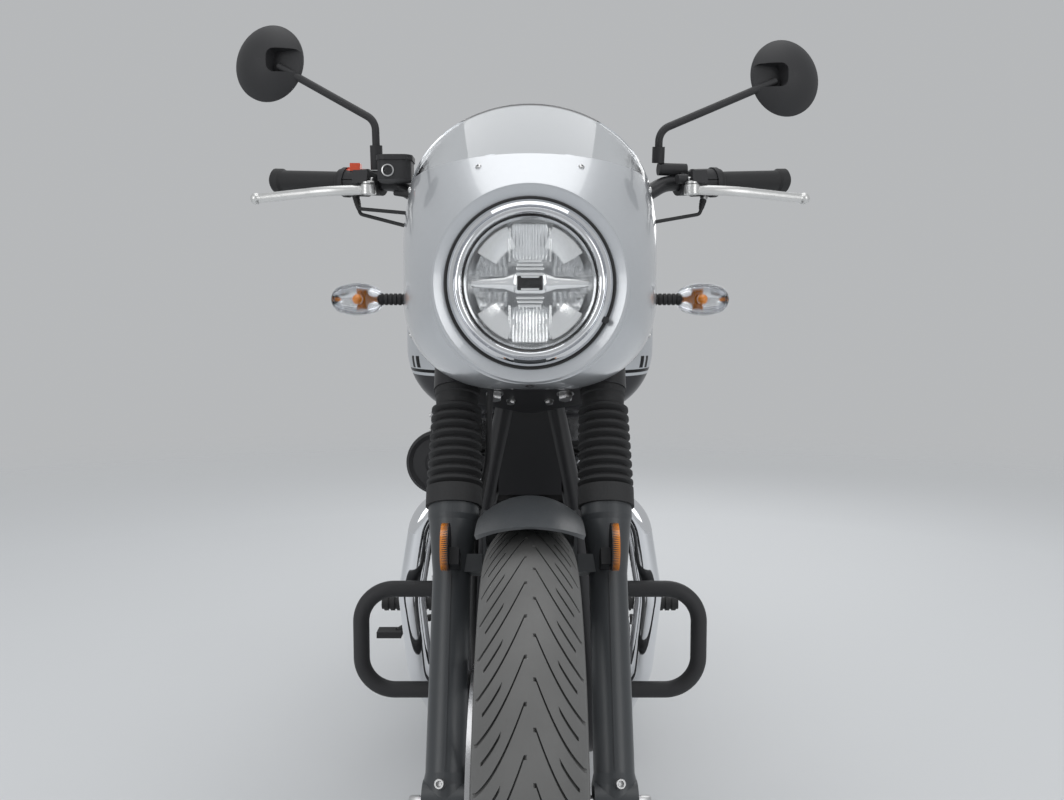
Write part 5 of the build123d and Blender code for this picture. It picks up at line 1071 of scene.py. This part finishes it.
def exhaust_clamps():
    """Band clamps where the header pipes enter the mufflers."""
    shape = Shape()
    for side in (1, -1):
        flip = Vector((1, side, 1))
        start, end = HEADER_END * flip, MUFFLER_END * flip
        place = place_at(start, end - start)
        shape.lathe(CLAMP_BAND, place, ZINC, 40)
        lug = place @ Matrix.Translation(CLAMP_LUG)
        shape.box(lug, LUG_SIZE, ZINC, 1.5)
        bolt_head(shape, lug @ Vector((0, LUG_SIZE[1] / 2, 0)), place.col[1].to_3d(), "hex", 4.5, ZINC)
    shape.build("exhaust_clamps", "chassis")


# Stage

LOW_TONE, HIGH_TONE, HIGH_AT = (0.30, 0.31, 0.32), (0.80, 0.82, 0.84), 0.75      # the surroundings, going up
SEEN_TONE = (0.47, 0.48, 0.49)
FLOOR_TONE, FLOOR_R, FLOOR_FADE = (0.60, 0.61, 0.62), 40.0, (2.6, 6.0)      # metres
LAMPS = [   # name, place, aim and size in metres, watts
    ("overhead", (0.2, 0.0, 3.2), (0.2, 0.0, 0.0), (3.4, 2.4), 30),
    ("front_left", (3.0, 2.4, 1.7), (0.5, 0.0, 0.7), (1.6, 1.8), 18),
    ("front_right", (3.0, -2.4, 1.7), (0.5, 0.0, 0.7), (1.6, 1.8), 18),
    ("rear", (-2.8, 0.8, 2.2), (-0.2, 0.0, 0.6), (1.8, 1.8), 16),
]


def add_light(name, place, aim, size, power):
    """A soft rectangular lamp turned to a point."""
    lamp = bpy.data.lights.new(name, "AREA")
    lamp.shape = "RECTANGLE"
    lamp.size, lamp.size_y = size
    lamp.energy = power
    obj = bpy.data.objects.new(name, lamp)
    obj.location = place
    obj.rotation_euler = (Vector(aim) - Vector(place)).to_track_quat("-Z", "Y").to_euler()
    obj.visible_transmission = name != "rear"      # that one would stand in the screen
    bpy.context.scene.collection.objects.link(obj)


def build_world():
    """Even, pale surroundings, lighter overhead; the camera, metal and glass see them as one plain tone."""
    scene = bpy.context.scene
    scene.view_settings.view_transform = "Standard"
    world = bpy.data.worlds.new("studio")
    scene.world = world
    world.use_nodes = True
    tree = world.node_tree
    coords, parts = add(tree, "ShaderNodeTexCoord"), add(tree, "ShaderNodeSeparateXYZ")
    link(tree, coords.outputs["Generated"], parts.inputs["Vector"])
    ramp = add(tree, "ShaderNodeValToRGB")
    low, high = ramp.color_ramp.elements
    low.position, high.position = 0.0, HIGH_AT
    low.color, high.color = (*LOW_TONE, 1.0), (*HIGH_TONE, 1.0)
    link(tree, parts.outputs["Z"], ramp.inputs["Fac"])
    rays = add(tree, "ShaderNodeLightPath").outputs
    direct = math_node(tree, "MAXIMUM", rays["Is Camera Ray"], rays["Is Transmission Ray"])
    seen = math_node(tree, "MAXIMUM", direct, rays["Is Glossy Ray"])
    tone = layer(tree, ramp.outputs["Color"], SEEN_TONE, seen)
    link(tree, tone, tree.nodes["Background"].inputs["Color"])


def fade_out(mat, near, far):
    """Lets a floor's finish run out into the surroundings, by distance from the middle."""
    tree = mat.node_tree
    coords = add(tree, "ShaderNodeTexCoord")
    away = add(tree, "ShaderNodeVectorMath")
    away.operation = "LENGTH"
    link(tree, coords.outputs["Object"], away.inputs[0])
    fade = add(tree, "ShaderNodeMapRange", From_Min=near, From_Max=far)
    link(tree, away.outputs["Value"], fade.inputs["Value"])
    mix = add(tree, "ShaderNodeMixShader")
    link(tree, fade.outputs["Result"], mix.inputs[0])
    link(tree, tree.nodes["Principled BSDF"].outputs[0], mix.inputs[1])
    link(tree, add(tree, "ShaderNodeBsdfTransparent").outputs[0], mix.inputs[2])
    link(tree, mix.outputs[0], tree.nodes["Material Output"].inputs["Surface"])


def build_stage():
    """Pale floor and soft lamps: a broad one overhead, one each side of the camera and one behind."""
    build_world()
    bpy.ops.mesh.primitive_circle_add(vertices=96, radius=FLOOR_R, fill_type="NGON")
    floor = bpy.context.object
    floor.name = "floor"
    paint = finish("pale_floor", FLOOR_TONE, 0.6, scale=3, spread=0.08, tone=0.02)
    fade_out(paint, *FLOOR_FADE)
    floor.data.materials.append(paint)
    for row in LAMPS:
        add_light(*row)


def build_camera():
    """The photograph's camera."""
    data = bpy.data.cameras.new("camera")
    data.sensor_fit = "HORIZONTAL"
    data.sensor_width = SENSOR
    data.lens = FOCAL_PX / IMAGE_W * SENSOR
    data.shift_x = (IMAGE_W / 2 - CENTRE_PX) / IMAGE_W
    data.clip_start = 0.02
    camera = bpy.data.objects.new("camera", data)
    camera.location = Vector((FRONT_AXLE.x + CAMERA_AHEAD, 0.0, CAMERA_HEIGHT)) * MM
    look = Vector((-math.cos(CAMERA_PITCH), 0.0, -math.sin(CAMERA_PITCH)))
    camera.rotation_euler = look.to_track_quat("-Z", "Y").to_euler()
    bpy.context.scene.collection.objects.link(camera)
    bpy.context.scene.camera = camera


paint_nodes()
paint_faces()
treaded_tyre("front_tread", "front_tyre", "front_wheel", FRONT_AXLE, FRONT_TYRE, 45)
treaded_tyre("rear_tread", "rear_tyre", "rear_wheel", REAR_AXLE, REAR_TYRE, 44)
headlamp_optics()
lamp_trim()
seat()
tank_mount()
roller_chain()
dials()
mirror_glasses()
turn_signals()
control_trim()
exhaust_clamps()
fasteners()
build_stage()
build_camera()
